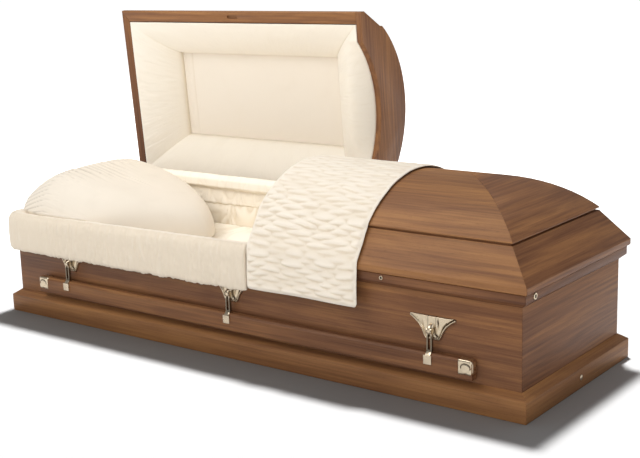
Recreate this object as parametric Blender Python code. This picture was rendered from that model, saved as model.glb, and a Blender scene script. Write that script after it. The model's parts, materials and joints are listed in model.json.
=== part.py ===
"""Half-couch wooden coffin, lined and draped, with two hinged lids and two swinging bar handles.

Metres, +Z up. X runs along the coffin (head end at -X, foot end at +X), the front long side faces -Y and
the hinges are along the back. The origin is the centre of the underside. The head lid stands open and the
foot lid is shut; both are built shut, on an empty at their hinge line, and the head lid's empty is turned.
"""

import math

import bmesh
import bpy
from mathutils import Matrix, Vector

for old in list(bpy.data.objects):
    bpy.data.objects.remove(old, do_unlink=True)

# Gaps
FIT = 0.0003                # between two pieces that touch
MITRE = 0.0002              # taken off each side of a mitred corner
LID_GAP = 0.0008            # lid underside above the rim
SPLIT_GAP = 0.005           # between the two lids where they meet
CLOTH_GAP = 0.002           # cloth clear of the wood it hangs on

# Box
BODY_LENGTH = 2.064
BODY_WIDTH = 0.628
WALL = 0.019
FLOOR = 0.020
BASE_OUT = 0.027            # plinth moulding beyond the walls
BASE_FACE = 0.061           # height of its upright face
BASE_HEIGHT = 0.080
BODY_HEIGHT = 0.3585
RIM_TALL = 0.0405           # rim moulding, with a cove under its face
RIM_COVE = 0.015
RIM_OUT = 0.018
RIM_EDGE = 0.002

# Lids
SPLIT_X = 0.0955            # middle of the gap between the lids
LID_OUT = 0.026             # nosing beyond the walls
NOSE_HEIGHT = 0.025
NOSE_ROUND = 0.004
RAIL = 0.041                # width of the lid's underside frame
SLOPE_SIDE = 0.0605         # how far the flat slope runs in on the long sides
SLOPE_END = 0.0735          # and on the ends
SLOPE_RISE = 0.0895
SLOPE_THICK = 0.014
GROOVE_HEIGHT = 0.0065      # shadow groove under the crown
GROOVE_DEPTH = 0.0085
LIP = 0.004                 # upright edge of the crown
CROWN_RISE = 0.1197
CROWN_THICK = 0.012
HIP_RUN = 0.2875            # how far the crown's end runs in to its point
CROWN_TIP = 0.003           # half width left at the hip panel's point
CROWN_STEPS = 13
HEADER = 0.022              # board that closes a lid where the two meet
ARCH_HALF = 0.238           # half width of the arch cut in its lower edge
ARCH_RISE = 0.086
SLOT_LENGTH = 0.050         # latch slot under the head lid's front rail
SLOT_WIDTH = 0.012
SLOT_DEPTH = 0.007
SLOT_X = -0.484

# Hinges
HINGE_BACK = 0.020          # hinge line behind the nosing
HINGE_UP = 0.0055           # and above the rim
HINGE_RADIUS = 0.0055
LEAF = 0.002
LEAF_HEIGHT = 0.019
LEAF_PLAY = 0.0015          # box leaf's shelf under the lid's knuckles
KNUCKLE_PITCH = 0.120
KNUCKLE_LENGTH = 0.056
HINGE_MARGIN = 0.070        # hinge leaf stops this far from a lid's ends
LID_OPENING = 85.5          # degrees from shut to the open stop

# Handles
BAR_SHORT = 0.135           # bar's ends short of the walls' ends
BAR_BEYOND = 0.1455         # bar beyond its outer arms
BAR_DEEP = 0.0255
BAR_TALL = 0.056
BAR_BEVEL = 0.008
BAR_EDGE = 0.003
BAR_OFF = 0.006             # bar clear of the wall
BAR_ABOVE = 0.015           # bar clear of the plinth below it
BAR_HANG = 0.063            # bar's top below its pivot
PIN = 0.0024
PIN_PLAY = 0.0004
ARM_WIDTH = 0.017
TINE = 0.004
TINE_DEEP = 0.009
TINE_PLAY = 0.0005
STRAP = 0.008
BOSS = 0.0085
CLIP = 0.026
CLIP_THICK = 0.002
CAP_LENGTH = 0.046
CAP_OVER = 0.0016
EAR_HALF = 0.0755
EAR_ABOVE = 0.0395          # ear's top above the pivot
EAR_WING = 0.0085           # depth of a wing at its tip
EAR_BELOW = 0.033
EAR_THICK = 0.006
LUG_WIDTH = 0.008

# Locks and cap
LOCK_IN = 0.036             # end lock from the front corner
LOCK_RADIUS = 0.0100
CATCH_X = 0.589
CATCH_RADIUS = 0.0065
LOCK_HOLE = 0.0055
CATCH_HOLE = 0.0036
FITTING_THICK = 0.0025
BASE_CAP_RADIUS = 0.0085
BASE_CAP_Z = BASE_FACE * 0.55

# Cloth
MATTRESS_DROP = 0.0885      # mattress below the top of the box
MATTRESS_EDGE = 0.020
LINING_THICK = 0.008
LINING_DROP = 0.0205        # wall lining's top below the top of the box
ROLL_RISE = 0.0815          # padded roll on the hinge side, above the top of the box
ROLL_THICK = 0.034
ROLL_ROUND = 0.012
FLAP_OVER_PIN = 0.022       # hem of the cloth flap over the front and the head end, above the arms' pins
FLAP_RISE = 0.0525          # its top above the top of the box
FLAP_THICK = 0.024
FLAP_IN = 0.030             # how far it reaches in from the wall's outer face
FLAP_ROUND = 0.020
FLAP_HEM = 0.012
THROW_LENGTH = 0.416
THROW_DROP = 0.1085         # throw's hem below the top of the box
THROW_THICK = 0.010
PILLOW_LENGTH = 0.611
PILLOW_RISE = 0.250         # above the mattress
PILLOW_EDGE = 0.004
PILLOW_CORNER = 0.270       # how much shorter the pillow is at its sides
PANEL_DEEP = 0.1107         # lid lining's flat middle above the lid's underside
PANEL_THICK = 0.010
BORDER_SIDE = 0.131
BORDER_END = 0.160
BORDER_THICK = 0.012
BORDER_START = 0.004
LINING_GAP = 0.001          # lining clear of the wood and of its own panel

# Worked out from the above
HX = BODY_LENGTH / 2
HY = BODY_WIDTH / 2
Z_LID = BODY_HEIGHT + LID_GAP
Z_NOSE = Z_LID + NOSE_HEIGHT
Z_SLOPE = Z_NOSE + SLOPE_RISE
Z_CROWN = Z_SLOPE + GROOVE_HEIGHT
NOSE_TOP_OUT = LID_OUT - 0.75 * NOSE_ROUND
Y_LIP = HY + NOSE_TOP_OUT - SLOPE_SIDE
X_LIP = HX + NOSE_TOP_OUT - SLOPE_END
CROWN_RADIUS = (Y_LIP**2 + CROWN_RISE**2) / (2 * CROWN_RISE)
CROWN_TOP = Z_CROWN + LIP + CROWN_RISE
CROWN_CENTRE = CROWN_TOP - CROWN_RADIUS
HINGE_Y = HY + LID_OUT + HINGE_BACK
HINGE_Z = BODY_HEIGHT + HINGE_UP
Z_PANEL = Z_LID + PANEL_DEEP
PIVOT_Y = HY + BAR_OFF + BAR_DEEP / 2
BAR_BOTTOM = BASE_HEIGHT + BAR_ABOVE
BAR_TOP = BAR_BOTTOM + BAR_TALL
PIVOT_Z = BAR_TOP + BAR_HANG
BAR_FRONT = HY + BAR_OFF + BAR_DEEP
BAR_HALF = HX - BAR_SHORT
ARM_X = BAR_HALF - BAR_BEYOND
INNER_X = HX - WALL - FIT
INNER_Y = HY - WALL - FIT
MATTRESS_TOP = BODY_HEIGHT - MATTRESS_DROP
LINING_TOP = BODY_HEIGHT - LINING_DROP
PILLOW_BACK = INNER_Y - ROLL_THICK - 3 * CLOTH_GAP
PILLOW_FRONT = -(HY - FLAP_IN - CLOTH_GAP)
PILLOW_HEAD = -(HX - FLAP_IN - 3 * CLOTH_GAP)

WALNUT = ("walnut", (0.175, 0.082, 0.040), 0.42, 0.0)
BRASS = ("brass", (0.62, 0.50, 0.34), 0.28, 1.0)
CREAM = ("cream_cloth", (0.86, 0.78, 0.66), 0.85, 0.0)


def material(spec):
    """A Principled material from a name, a colour, a roughness and a metallic value."""
    name, colour, rough, metal = spec
    made = bpy.data.materials.get(name)
    if made is None:
        made = bpy.data.materials.new(name)
        made.use_nodes = True
        shader = made.node_tree.nodes["Principled BSDF"]
        shader.inputs["Base Color"].default_value = (*colour, 1.0)
        shader.inputs["Roughness"].default_value = rough
        shader.inputs["Metallic"].default_value = metal
    return made


def closed_mesh(name, points, faces):
    """A mesh of one closed body, with doubled points merged and its faces turned outwards."""
    shape = bmesh.new()
    corners = [shape.verts.new(p) for p in points]
    for face in faces:
        shape.faces.new([corners[i] for i in face])
    bmesh.ops.remove_doubles(shape, verts=shape.verts, dist=1e-6)
    bmesh.ops.dissolve_degenerate(shape, edges=shape.edges, dist=1e-7)
    bmesh.ops.recalc_face_normals(shape, faces=shape.faces)
    mesh = bpy.data.meshes.new(name)
    shape.to_mesh(mesh)
    shape.free()
    return mesh


def place(name, mesh, finish, parent=None, matrix=None, smooth=False):
    """Put a mesh in the scene as the piece called name. Under a parent its points are moved to the
    parent's own place, so that the piece turns about the parent."""
    mesh = mesh.copy()
    mesh.name = name
    if matrix is not None:
        mesh.transform(matrix)
    piece = bpy.data.objects.new(name, mesh)
    bpy.context.scene.collection.objects.link(piece)
    if parent is not None:
        mesh.transform(Matrix.Translation(-parent.location))
        piece.parent = parent
    mesh.materials.clear()
    mesh.materials.append(material(finish))
    if smooth:
        mesh.shade_smooth()
        mesh.set_sharp_from_angle(angle=math.radians(35))
    return piece


def axis_empty(name, location, turn=0.0):
    """An empty on a joint's axis, turned about X by turn radians."""
    empty = bpy.data.objects.new(name, None)
    bpy.context.scene.collection.objects.link(empty)
    empty.location = location
    empty.rotation_euler = (turn, 0.0, 0.0)
    return empty


def loft(rings, close=False):
    """Points and faces that join equal closed rings, with a face over each end unless close joins the
    last ring to the first."""
    points = [p for ring in rings for p in ring]
    count = len(rings[0])
    spans = len(rings) if close else len(rings) - 1
    faces = []
    for r in range(spans):
        a = r * count
        b = ((r + 1) % len(rings)) * count
        for i in range(count):
            j = (i + 1) % count
            faces.append((a + i, a + j, b + j, b + i))
    if not close:
        faces.append(tuple(range(count)))
        faces.append(tuple(range((len(rings) - 1) * count, len(rings) * count)))
    return points, faces


def prism(name, outline, low, high, axis="X"):
    """An outline carried straight along an axis. The outline's pairs are (y, z) along X, (x, z) along Y."""
    if axis == "X":
        rings = [[(at, a, b) for a, b in outline] for at in (low, high)]
    else:
        rings = [[(a, at, b) for a, b in outline] for at in (low, high)]
    return closed_mesh(name, *loft(rings))


def box(name, low, high):
    """A box between two corners."""
    outline = [(low[1], low[2]), (high[1], low[2]), (high[1], high[2]), (low[1], high[2])]
    return prism(name, outline, low[0], high[0])


def circle(radius, centre=(0.0, 0.0), sides=16):
    """Points of a circle, as pairs."""
    turns = [2 * math.pi * i / sides for i in range(sides)]
    return [(centre[0] + radius * math.cos(a), centre[1] + radius * math.sin(a)) for a in turns]


def fuse(name, solids, cuts=()):
    """One body from meshes that overlap, less the cuts."""
    base = bpy.data.objects.new(name, solids[0])
    bpy.context.scene.collection.objects.link(base)
    helpers = []
    for operation, group in (("UNION", solids[1:]), ("DIFFERENCE", cuts)):
        for mesh in group:
            helper = bpy.data.objects.new(name + "_helper", mesh)
            bpy.context.scene.collection.objects.link(helper)
            helpers.append(helper)
            step = base.modifiers.new(operation, "BOOLEAN")
            step.operation = operation
            step.object = helper
    graph = bpy.context.evaluated_depsgraph_get()
    mesh = bpy.data.meshes.new_from_object(base.evaluated_get(graph))
    for helper in helpers + [base]:
        bpy.data.objects.remove(helper, do_unlink=True)
    return mesh


# Mitred frames: a section's points are (out on the long sides, out on the ends, height), where out is
# measured from the walls' outer faces.
def same_out(section):
    """A section that stands out equally on the sides and the ends."""
    return [(out, out, z) for out, z in section]


def run_mesh(name, side, section, caps, low=None, high=None):
    """One straight length of a frame along a side of the box, mitred at each end that isn't given."""
    sign = -1 if side in ("front", "head") else 1
    rings = []
    for end, cut in ((-1, low), (1, high)):
        ring = []
        for out_side, out_end, z in section:
            x_corner = HX + out_end
            y_corner = HY + out_side
            if side in ("front", "back"):
                x = end * (x_corner - MITRE) if cut is None else cut
                ring.append((x, sign * y_corner, z))
            else:
                ring.append((sign * x_corner, end * (y_corner - MITRE), z))
        rings.append(ring)
    points, faces = loft(rings)
    count = len(section)
    faces = faces[:-2]
    for start in (0, count):
        faces += [tuple(start + i for i in cap) for cap in caps]
    return closed_mesh(name, points, faces)


def frame_of_four(label, section, finish):
    """Four mitred lengths round the box."""
    caps = [tuple(range(len(section)))]
    for side in ("front", "back", "head", "foot"):
        place(f"{label}_{side}", run_mesh(label, side, same_out(section), caps), finish)


def make_box():
    """Plinth moulding, walls, bottom board and rim moulding."""
    base = [(FIT, 0.0), (BASE_OUT, 0.0), (BASE_OUT, BASE_FACE), (FIT, BASE_HEIGHT)]
    wall = [(0.0, 0.0), (0.0, BODY_HEIGHT), (-WALL, BODY_HEIGHT), (-WALL, 0.0)]
    frame_of_four("base_moulding", base, WALNUT)
    frame_of_four("wall", wall, WALNUT)
    frame_of_four(
        "rim_moulding",
        [
            (FIT, BODY_HEIGHT - RIM_TALL),
            (RIM_OUT, BODY_HEIGHT - RIM_TALL + RIM_COVE),
            (RIM_OUT, BODY_HEIGHT - RIM_EDGE),
            (RIM_OUT - RIM_EDGE, BODY_HEIGHT),
            (FIT, BODY_HEIGHT),
        ],
        WALNUT,
    )
    place("bottom_board", box("bottom", (-INNER_X, -INNER_Y, 0.0), (INNER_X, INNER_Y, FLOOR)), WALNUT)


# Lids. They are worked out along u, which is x on the foot lid and -x on the head lid.
def arc_points(radius, start, steps):
    """Pairs (y, z) on the crown's circle, from the angle start up to the top."""
    turns = [start + (math.pi / 2 - start) * i / (steps - 1) for i in range(steps)]
    return [(radius * math.cos(a), CROWN_CENTRE + radius * math.sin(a)) for a in turns]


def crown_outer():
    """Half outline of the crown's outside, from its lower edge to the top."""
    start = math.asin((Z_CROWN + LIP - CROWN_CENTRE) / CROWN_RADIUS)
    arc = arc_points(CROWN_RADIUS, start, CROWN_STEPS)
    arc[-1] = (0.0, CROWN_TOP)
    return [(arc[0][0], Z_CROWN)] + arc


def crown_inner():
    """Half outline of the crown's inside, from its lower edge to the top."""
    radius = CROWN_RADIUS - CROWN_THICK
    start = math.asin((Z_CROWN - CROWN_CENTRE) / radius)
    arc = arc_points(radius, start, CROWN_STEPS - 2)
    arc[-1] = (0.0, CROWN_TOP - CROWN_THICK)
    return arc


def mirrored(half):
    """A half outline and its mirror image, from -y to +y. The last point of the half is at y = 0."""
    return [(-y, z) for y, z in half] + [(y, z) for y, z in reversed(half[:-1])]


def hip_u(y):
    """Where the crown's hip is, for a distance y from the middle."""
    return X_LIP - HIP_RUN * (1 - y / Y_LIP)


def ogee_section():
    """Nosing, rail and slope of a lid in one moulding."""
    long_run = SLOPE_END / SLOPE_SIDE
    level = SLOPE_THICK * math.hypot(SLOPE_SIDE, SLOPE_RISE) / SLOPE_RISE
    slope_top = NOSE_TOP_OUT - SLOPE_SIDE

    def upper(out, z):
        return (out, NOSE_TOP_OUT + (out - NOSE_TOP_OUT) * long_run, z)

    def lower(out, z):
        return (out, out, z)

    return [
        lower(LID_OUT - NOSE_ROUND, Z_LID),
        lower(LID_OUT, Z_LID + NOSE_ROUND),
        lower(LID_OUT, Z_NOSE - NOSE_ROUND),
        lower(NOSE_TOP_OUT, Z_NOSE),
        upper(slope_top, Z_SLOPE),
        upper(slope_top - GROOVE_DEPTH, Z_SLOPE),
        upper(slope_top - GROOVE_DEPTH, Z_CROWN - FIT),
        upper(slope_top - level, Z_CROWN - FIT),
        lower(NOSE_TOP_OUT - level, Z_NOSE),
        lower(LID_OUT - RAIL, Z_NOSE),
        lower(LID_OUT - RAIL, Z_LID),
    ]


OGEE_CAPS = [(0, 1, 2, 3, 8), (0, 8, 9, 10), (3, 4, 5), (5, 6, 7), (3, 5, 8), (5, 7, 8)]


def lid_outline():
    """Half outline of a shut lid seen from its end, from the underside to the top."""
    section = [(HY + out, z) for out, _, z in ogee_section()[:6]]
    return section + [(section[-1][0], Z_CROWN)] + crown_outer()


def arch_z(y):
    """Height of the header's lower edge."""
    radius = (ARCH_HALF**2 + ARCH_RISE**2) / (2 * ARCH_RISE)
    if abs(y) >= ARCH_HALF:
        return Z_LID
    return Z_LID + ARCH_RISE - radius + math.sqrt(radius**2 - y**2)


def to_x(mesh, sign):
    """Turn a mesh worked out along u into x."""
    if sign < 0:
        mesh.transform(Matrix.Scale(-1, 4, Vector((1, 0, 0))))
        mesh.flip_normals()
    return mesh


def make_header(label, sign, meet, parent):
    """Board across the lid's meeting end, with the lid's own outline and an arch under it."""
    upper = mirrored(lid_outline())
    steps = 16
    lower = [ARCH_HALF * (1 - 2 * i / steps) for i in range(steps + 1)]
    outline = upper + [(y, arch_z(y)) for y in lower]
    place(f"{label}_header", to_x(prism("header", outline, meet, meet + HEADER), sign), WALNUT, parent)


def make_ogee(label, sign, meet, parent):
    """The three lengths of moulding round a lid's long sides and its end."""
    start = meet + HEADER + FIT
    for side in ("front", "back"):
        mesh = run_mesh("ogee", side, ogee_section(), OGEE_CAPS, low=start)
        if sign < 0 and side == "front":
            mesh = fuse("ogee", [mesh], [latch_slot()])
        place(f"{label}_ogee_{side}", to_x(mesh, sign), WALNUT, parent)
    end = run_mesh("ogee", "foot", ogee_section(), OGEE_CAPS)
    place(f"{label}_ogee_end", to_x(end, sign), WALNUT, parent)


def latch_slot():
    """Cutter for the long slot under the front rail, along u."""
    middle_y = -(HY + LID_OUT - RAIL / 2)
    radius = SLOT_WIDTH / 2
    straight = SLOT_LENGTH / 2 - radius
    outline = []
    for i in range(14):
        turn = 2 * math.pi * (i + 0.5) / 14
        shift = straight if math.cos(turn) > 0 else -straight
        outline.append((-SLOT_X + shift + radius * math.cos(turn), middle_y + radius * math.sin(turn)))
    rings = [[(u, y, z) for u, y in outline] for z in (Z_LID - SLOT_DEPTH, Z_LID + SLOT_DEPTH)]
    return closed_mesh("slot", *loft(rings))


def make_crown(label, sign, meet, parent):
    """The crown's long bowed panel and its hipped end panel."""
    start = meet + HEADER + FIT
    outer = mirrored(crown_outer())
    inner = mirrored(crown_inner())
    outline = outer + inner[::-1]
    rings = [
        [(start, y, z) for y, z in outline],
        [(hip_u(abs(y)) - MITRE, y, z) for y, z in outline],
    ]
    points, faces = loft(rings)
    middle_out = len(outer) // 2
    middle_in = len(outer) + len(inner) // 2
    last = len(outline)
    halves = [
        tuple(range(middle_out + 1)) + tuple(range(middle_in, last)),
        tuple(range(middle_out, middle_in + 1)),
    ]
    faces = faces[:-1] + [tuple(last + i for i in half) for half in halves]
    mesh = closed_mesh("crown", points, faces)
    place(f"{label}_crown", to_x(mesh, sign), WALNUT, parent, smooth=True)

    half_outer = crown_outer()
    half_inner = crown_inner()
    half_outer[-1] = (CROWN_TIP, half_outer[-1][1])
    half_inner[-1] = (CROWN_TIP, half_inner[-1][1])
    half = half_outer + half_inner[::-1]
    rings = [[(hip_u(y), side * (y - MITRE), z) for y, z in half] for side in (-1, 1)]
    mesh = closed_mesh("crown_end", *loft(rings))
    place(f"{label}_crown_end", to_x(mesh, sign), WALNUT, parent, smooth=True)


def lining_fall(t):
    """How far the lining has sunk from its edge (0) to its flat middle (1), for a share t of the border."""
    return t**2.2


def make_lid_lining(label, sign, meet, parent):
    """Padded border and flat middle panel of a lid's lining. The border runs from the rails, and from the
    arch at the header, down into the lid."""
    low = meet + HEADER + LINING_GAP
    high = HX + LID_OUT - RAIL - LINING_GAP
    half = HY + LID_OUT - RAIL - LINING_GAP
    shares = (0.0, 0.3, 0.6, 0.85, 1.0)
    along = 4

    def loop(t, back):
        u_low, u_high = low + t * BORDER_END, high - t * BORDER_END
        y_side = half - t * BORDER_SIDE
        ring = []
        for i in range(2 * along):
            ring.append((u_low, -y_side + y_side * i / along, True))
        for i in range(along):
            ring.append((u_low + (u_high - u_low) * i / along, y_side, False))
        for i in range(2 * along):
            ring.append((u_high, y_side - y_side * i / along, False))
        for i in range(along):
            ring.append((u_high - (u_high - u_low) * i / along, -y_side, False))
        made = []
        for u, y, at_header in ring:
            edge = (arch_z(y) if at_header else Z_LID) + BORDER_START
            z = edge + (Z_PANEL - edge) * lining_fall(t)
            made.append((u, y, z + (BORDER_THICK if back else 0.0)))
        return made

    rings = [loop(t, False) for t in shares] + [loop(t, True) for t in reversed(shares)]
    border = closed_mesh("border", *loft(rings, close=True))
    place(f"{label}_lining_border", to_x(border, sign), CREAM, parent)
    near = low + BORDER_END + LINING_GAP
    far = high - BORDER_END - LINING_GAP
    wide = half - BORDER_SIDE - LINING_GAP
    panel = box("panel", (near, -wide, Z_PANEL), (far, wide, Z_PANEL + PANEL_THICK))
    place(f"{label}_lining_panel", to_x(panel, sign), CREAM, parent)


def knuckle_places(low, high):
    """Middles of the box's knuckles along a lid's hinge, between two ends. The lid's own lie between."""
    count = int((high - low) / KNUCKLE_PITCH)
    first = (low + high) / 2 - (count - 1) * KNUCKLE_PITCH / 2
    return [first + i * KNUCKLE_PITCH for i in range(count)]


def hinge_span(sign, meet):
    """The two ends in x of a lid's hinge leaf."""
    ends = sorted((sign * (meet + HINGE_MARGIN), sign * (HX + LID_OUT - HINGE_MARGIN)))
    return ends[0], ends[1]


def make_lid_leaf(label, sign, meet, parent):
    """Hinge leaf on the back of a lid's nosing, with its knuckles."""
    low, high = hinge_span(sign, meet)
    face = HY + LID_OUT + FIT
    z_low = Z_LID + FIT
    solids = [box("leaf", (low, face, z_low), (high, face + LEAF, z_low + LEAF_HEIGHT))]
    places = knuckle_places(low, high)
    for first, second in zip(places, places[1:]):
        middle = (first + second) / 2
        ends = (middle - KNUCKLE_LENGTH / 2, middle + KNUCKLE_LENGTH / 2)
        web = [
            (face + LEAF / 2, HINGE_Z - LEAF / 2),
            (HINGE_Y, HINGE_Z - LEAF / 2),
            (HINGE_Y, HINGE_Z + LEAF / 2),
            (face + LEAF / 2, HINGE_Z + LEAF / 2),
        ]
        solids.append(prism("web", web, *ends))
        solids.append(prism("knuckle", circle(HINGE_RADIUS, (HINGE_Y, HINGE_Z), 10), *ends))
    place(f"{label}_hinge_leaf", fuse("leaf", solids), BRASS, parent)


def make_box_leaf(label, sign, meet):
    """Hinge leaf on the rim moulding under a lid, cranked out to the hinge line, with its knuckles."""
    low, high = hinge_span(sign, meet)
    face = HY + RIM_OUT + FIT
    shelf_top = HINGE_Z - HINGE_RADIUS - LEAF_PLAY
    upright = box("leaf", (low, face, shelf_top - LEAF_HEIGHT), (high, face + LEAF, shelf_top))
    shelf = box("shelf", (low, face + LEAF / 2, shelf_top - LEAF), (high, HINGE_Y + LEAF / 2, shelf_top))
    solids = [upright, shelf]
    for middle in knuckle_places(low, high):
        ends = (middle - KNUCKLE_LENGTH / 2, middle + KNUCKLE_LENGTH / 2)
        post = [
            (HINGE_Y - LEAF / 2, shelf_top - LEAF / 2),
            (HINGE_Y + LEAF / 2, shelf_top - LEAF / 2),
            (HINGE_Y + LEAF / 2, HINGE_Z),
            (HINGE_Y - LEAF / 2, HINGE_Z),
        ]
        solids.append(prism("post", post, *ends))
        solids.append(prism("knuckle", circle(HINGE_RADIUS, (HINGE_Y, HINGE_Z), 10), *ends))
    place(f"{label}_box_leaf", fuse("leaf", solids), BRASS)


def make_lid(label, sign, parent):
    """All of one lid, built shut."""
    meet = sign * SPLIT_X + SPLIT_GAP / 2
    make_header(label, sign, meet, parent)
    make_ogee(label, sign, meet, parent)
    make_crown(label, sign, meet, parent)
    make_lid_lining(label, sign, meet, parent)
    make_lid_leaf(label, sign, meet, parent)
    make_box_leaf(label, sign, meet)


def make_throw(parent):
    """Quilted cloth laid over the foot lid's meeting end, hanging down the front."""
    low = SPLIT_X + SPLIT_GAP / 2
    half_inner = []
    half_outer = []
    for gap, half in ((CLOTH_GAP, half_inner), (CLOTH_GAP + THROW_THICK, half_outer)):
        half.append((HY + LID_OUT + gap, Z_NOSE + 0.3 * gap))
        half.append((Y_LIP + 0.8 * gap, Z_SLOPE + 0.6 * gap))
        start = math.asin((Z_CROWN + LIP - CROWN_CENTRE) / CROWN_RADIUS)
        arc = arc_points(CROWN_RADIUS + gap, start, CROWN_STEPS)
        arc[-1] = (0.0, CROWN_TOP + gap)
        half.extend(arc)
    inner = mirrored(half_inner)
    outer = mirrored(half_outer)
    back_inner = (Y_LIP + 0.85 * (inner[-1][0] - Y_LIP), Z_SLOPE + 0.85 * (inner[-1][1] - Z_SLOPE))
    back_outer = (back_inner[0] + 0.8 * THROW_THICK, back_inner[1] + 0.5 * THROW_THICK)
    hem = BODY_HEIGHT - THROW_DROP
    front_inner = (inner[0][0], hem)
    front_outer = (outer[0][0], hem)
    outline = [front_outer] + outer[:-1] + [back_outer, back_inner] + inner[:-1][::-1] + [front_inner]
    place("throw", prism("throw", outline, low, low + THROW_LENGTH), CREAM, parent)


# Cloth in the box
def make_flap():
    """Cloth roll turned out over the rim along the front and round the head end."""
    inside = -FLAP_IN
    over = BODY_HEIGHT + CLOTH_GAP
    clear = RIM_OUT + 2 * CLOTH_GAP
    out = clear + FLAP_THICK
    bottom = PIVOT_Z + FLAP_OVER_PIN
    top = BODY_HEIGHT + FLAP_RISE
    inner_lip = -(WALL + CLOTH_GAP / 2)
    section = [
        (clear, bottom),
        (out - FLAP_HEM, bottom),
        (out, bottom + FLAP_HEM),
        (out, top - 1.4 * FLAP_ROUND),
        (out - 0.35 * FLAP_ROUND, top - 0.45 * FLAP_ROUND),
        (out - 1.2 * FLAP_ROUND, top),
        (inside + FLAP_ROUND, top),
        (inside + 0.3 * FLAP_ROUND, top - 0.7 * FLAP_ROUND),
        (inside, LINING_TOP + FLAP_HEM),
        (inner_lip, LINING_TOP + 2 * CLOTH_GAP),
        (inner_lip, over),
        (clear, over),
    ]
    end_x = SPLIT_X - SPLIT_GAP / 2
    corner_x = -(HX + RIM_OUT)
    corner_y = -(HY + RIM_OUT)

    def at_corner(turn):
        ring = []
        for out_here, z in section:
            reach = out_here - RIM_OUT
            if reach > 0:
                ring.append((corner_x - reach * math.sin(turn), corner_y - reach * math.cos(turn), z))
            else:
                ring.append((-(HX + out_here), -(HY + out_here), z))
        return ring

    rings = [[(end_x, -(HY + o), z) for o, z in section]]
    rings += [at_corner(math.pi / 2 * i / 4) for i in range(5)]
    rings += [[(-(HX + o), HY - WALL, z) for o, z in section]]
    place("extendover", closed_mesh("flap", *loft(rings)), CREAM)


def rectangle(inset, z):
    """Four corners of the box's inside, drawn in by inset, at the height z."""
    x = INNER_X - inset
    y = INNER_Y - inset
    return [(-x, -y, z), (x, -y, z), (x, y, z), (-x, y, z)]


def make_bed():
    """Mattress, wall lining, the padded roll on the hinge side and the pillow."""
    rings = [
        rectangle(CLOTH_GAP, FLOOR + FIT),
        rectangle(CLOTH_GAP, MATTRESS_TOP - MATTRESS_EDGE),
        rectangle(CLOTH_GAP + MATTRESS_EDGE, MATTRESS_TOP),
    ]
    place("mattress", closed_mesh("mattress", *loft(rings)), CREAM)

    low = MATTRESS_TOP + CLOTH_GAP
    rings = [
        rectangle(0.0, low),
        rectangle(0.0, LINING_TOP),
        rectangle(LINING_THICK, LINING_TOP),
        rectangle(LINING_THICK, low),
    ]
    place("wall_lining", closed_mesh("lining", *loft(rings, close=True)), CREAM)

    back = INNER_Y - CLOTH_GAP
    front = back - ROLL_THICK
    bottom = LINING_TOP + CLOTH_GAP
    top = BODY_HEIGHT + ROLL_RISE
    outline = [
        (back, bottom),
        (back, top - ROLL_ROUND),
        (back - ROLL_ROUND, top),
        (front + ROLL_ROUND, top),
        (front, top - ROLL_ROUND),
        (front, bottom + ROLL_ROUND),
        (front + ROLL_ROUND, bottom),
    ]
    low_x = -(INNER_X - FLAP_IN)
    place("back_roll", prism("roll", outline, low_x, SPLIT_X - SPLIT_GAP / 2 - HEADER), CREAM)
    make_pillow()


def pillow_rise(s, across):
    """The pillow's height for a share s of its length from the head, and a place across it from -1 to 1."""
    head = 0.62 + 0.38 * math.sin(min(s / 0.20, 1.0) * math.pi / 2)
    fall = 1.0 if s < 0.20 else max(0.0, 1 - ((s - 0.20) / 0.80) ** 2.4) ** 0.62
    side = max(0.0, 1 - abs(across) ** 3.2) ** 0.55
    return PILLOW_RISE * head * fall * (0.10 + 0.90 * side)


def make_pillow():
    """Wide pillow set across the head of the bed, sloping down towards the foot."""
    steps = 12
    middle = (PILLOW_BACK + PILLOW_FRONT) / 2
    half = (PILLOW_BACK - PILLOW_FRONT) / 2
    bottom_z = MATTRESS_TOP + CLOTH_GAP / 2
    points = []
    index = {}
    for layer in (0, 1):
        for i in range(steps + 1):
            s = math.sin(i / steps * math.pi / 2)
            for j in range(steps + 1):
                across = -math.cos(math.pi * j / steps)
                length = PILLOW_LENGTH - PILLOW_CORNER * across**2
                rise = max(pillow_rise(s, across), PILLOW_EDGE) if layer else 0.0
                index[layer, i, j] = len(points)
                points.append((PILLOW_HEAD + length * s, middle + half * across, bottom_z + rise))
    faces = []
    for layer in (0, 1):
        for i in range(steps):
            for j in range(steps):
                faces.append([index[layer, i + a, j + b] for a, b in ((0, 0), (1, 0), (1, 1), (0, 1))])
    edge = [(i, 0) for i in range(steps)] + [(steps, j) for j in range(steps)]
    edge += [(i, steps) for i in range(steps, 0, -1)] + [(0, j) for j in range(steps, 0, -1)]
    for (i, j), (k, m) in zip(edge, edge[1:] + edge[:1]):
        faces.append([index[0, i, j], index[0, k, m], index[1, k, m], index[1, i, j]])
    place("pillow", closed_mesh("pillow", points, faces), CREAM, smooth=True)


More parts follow.
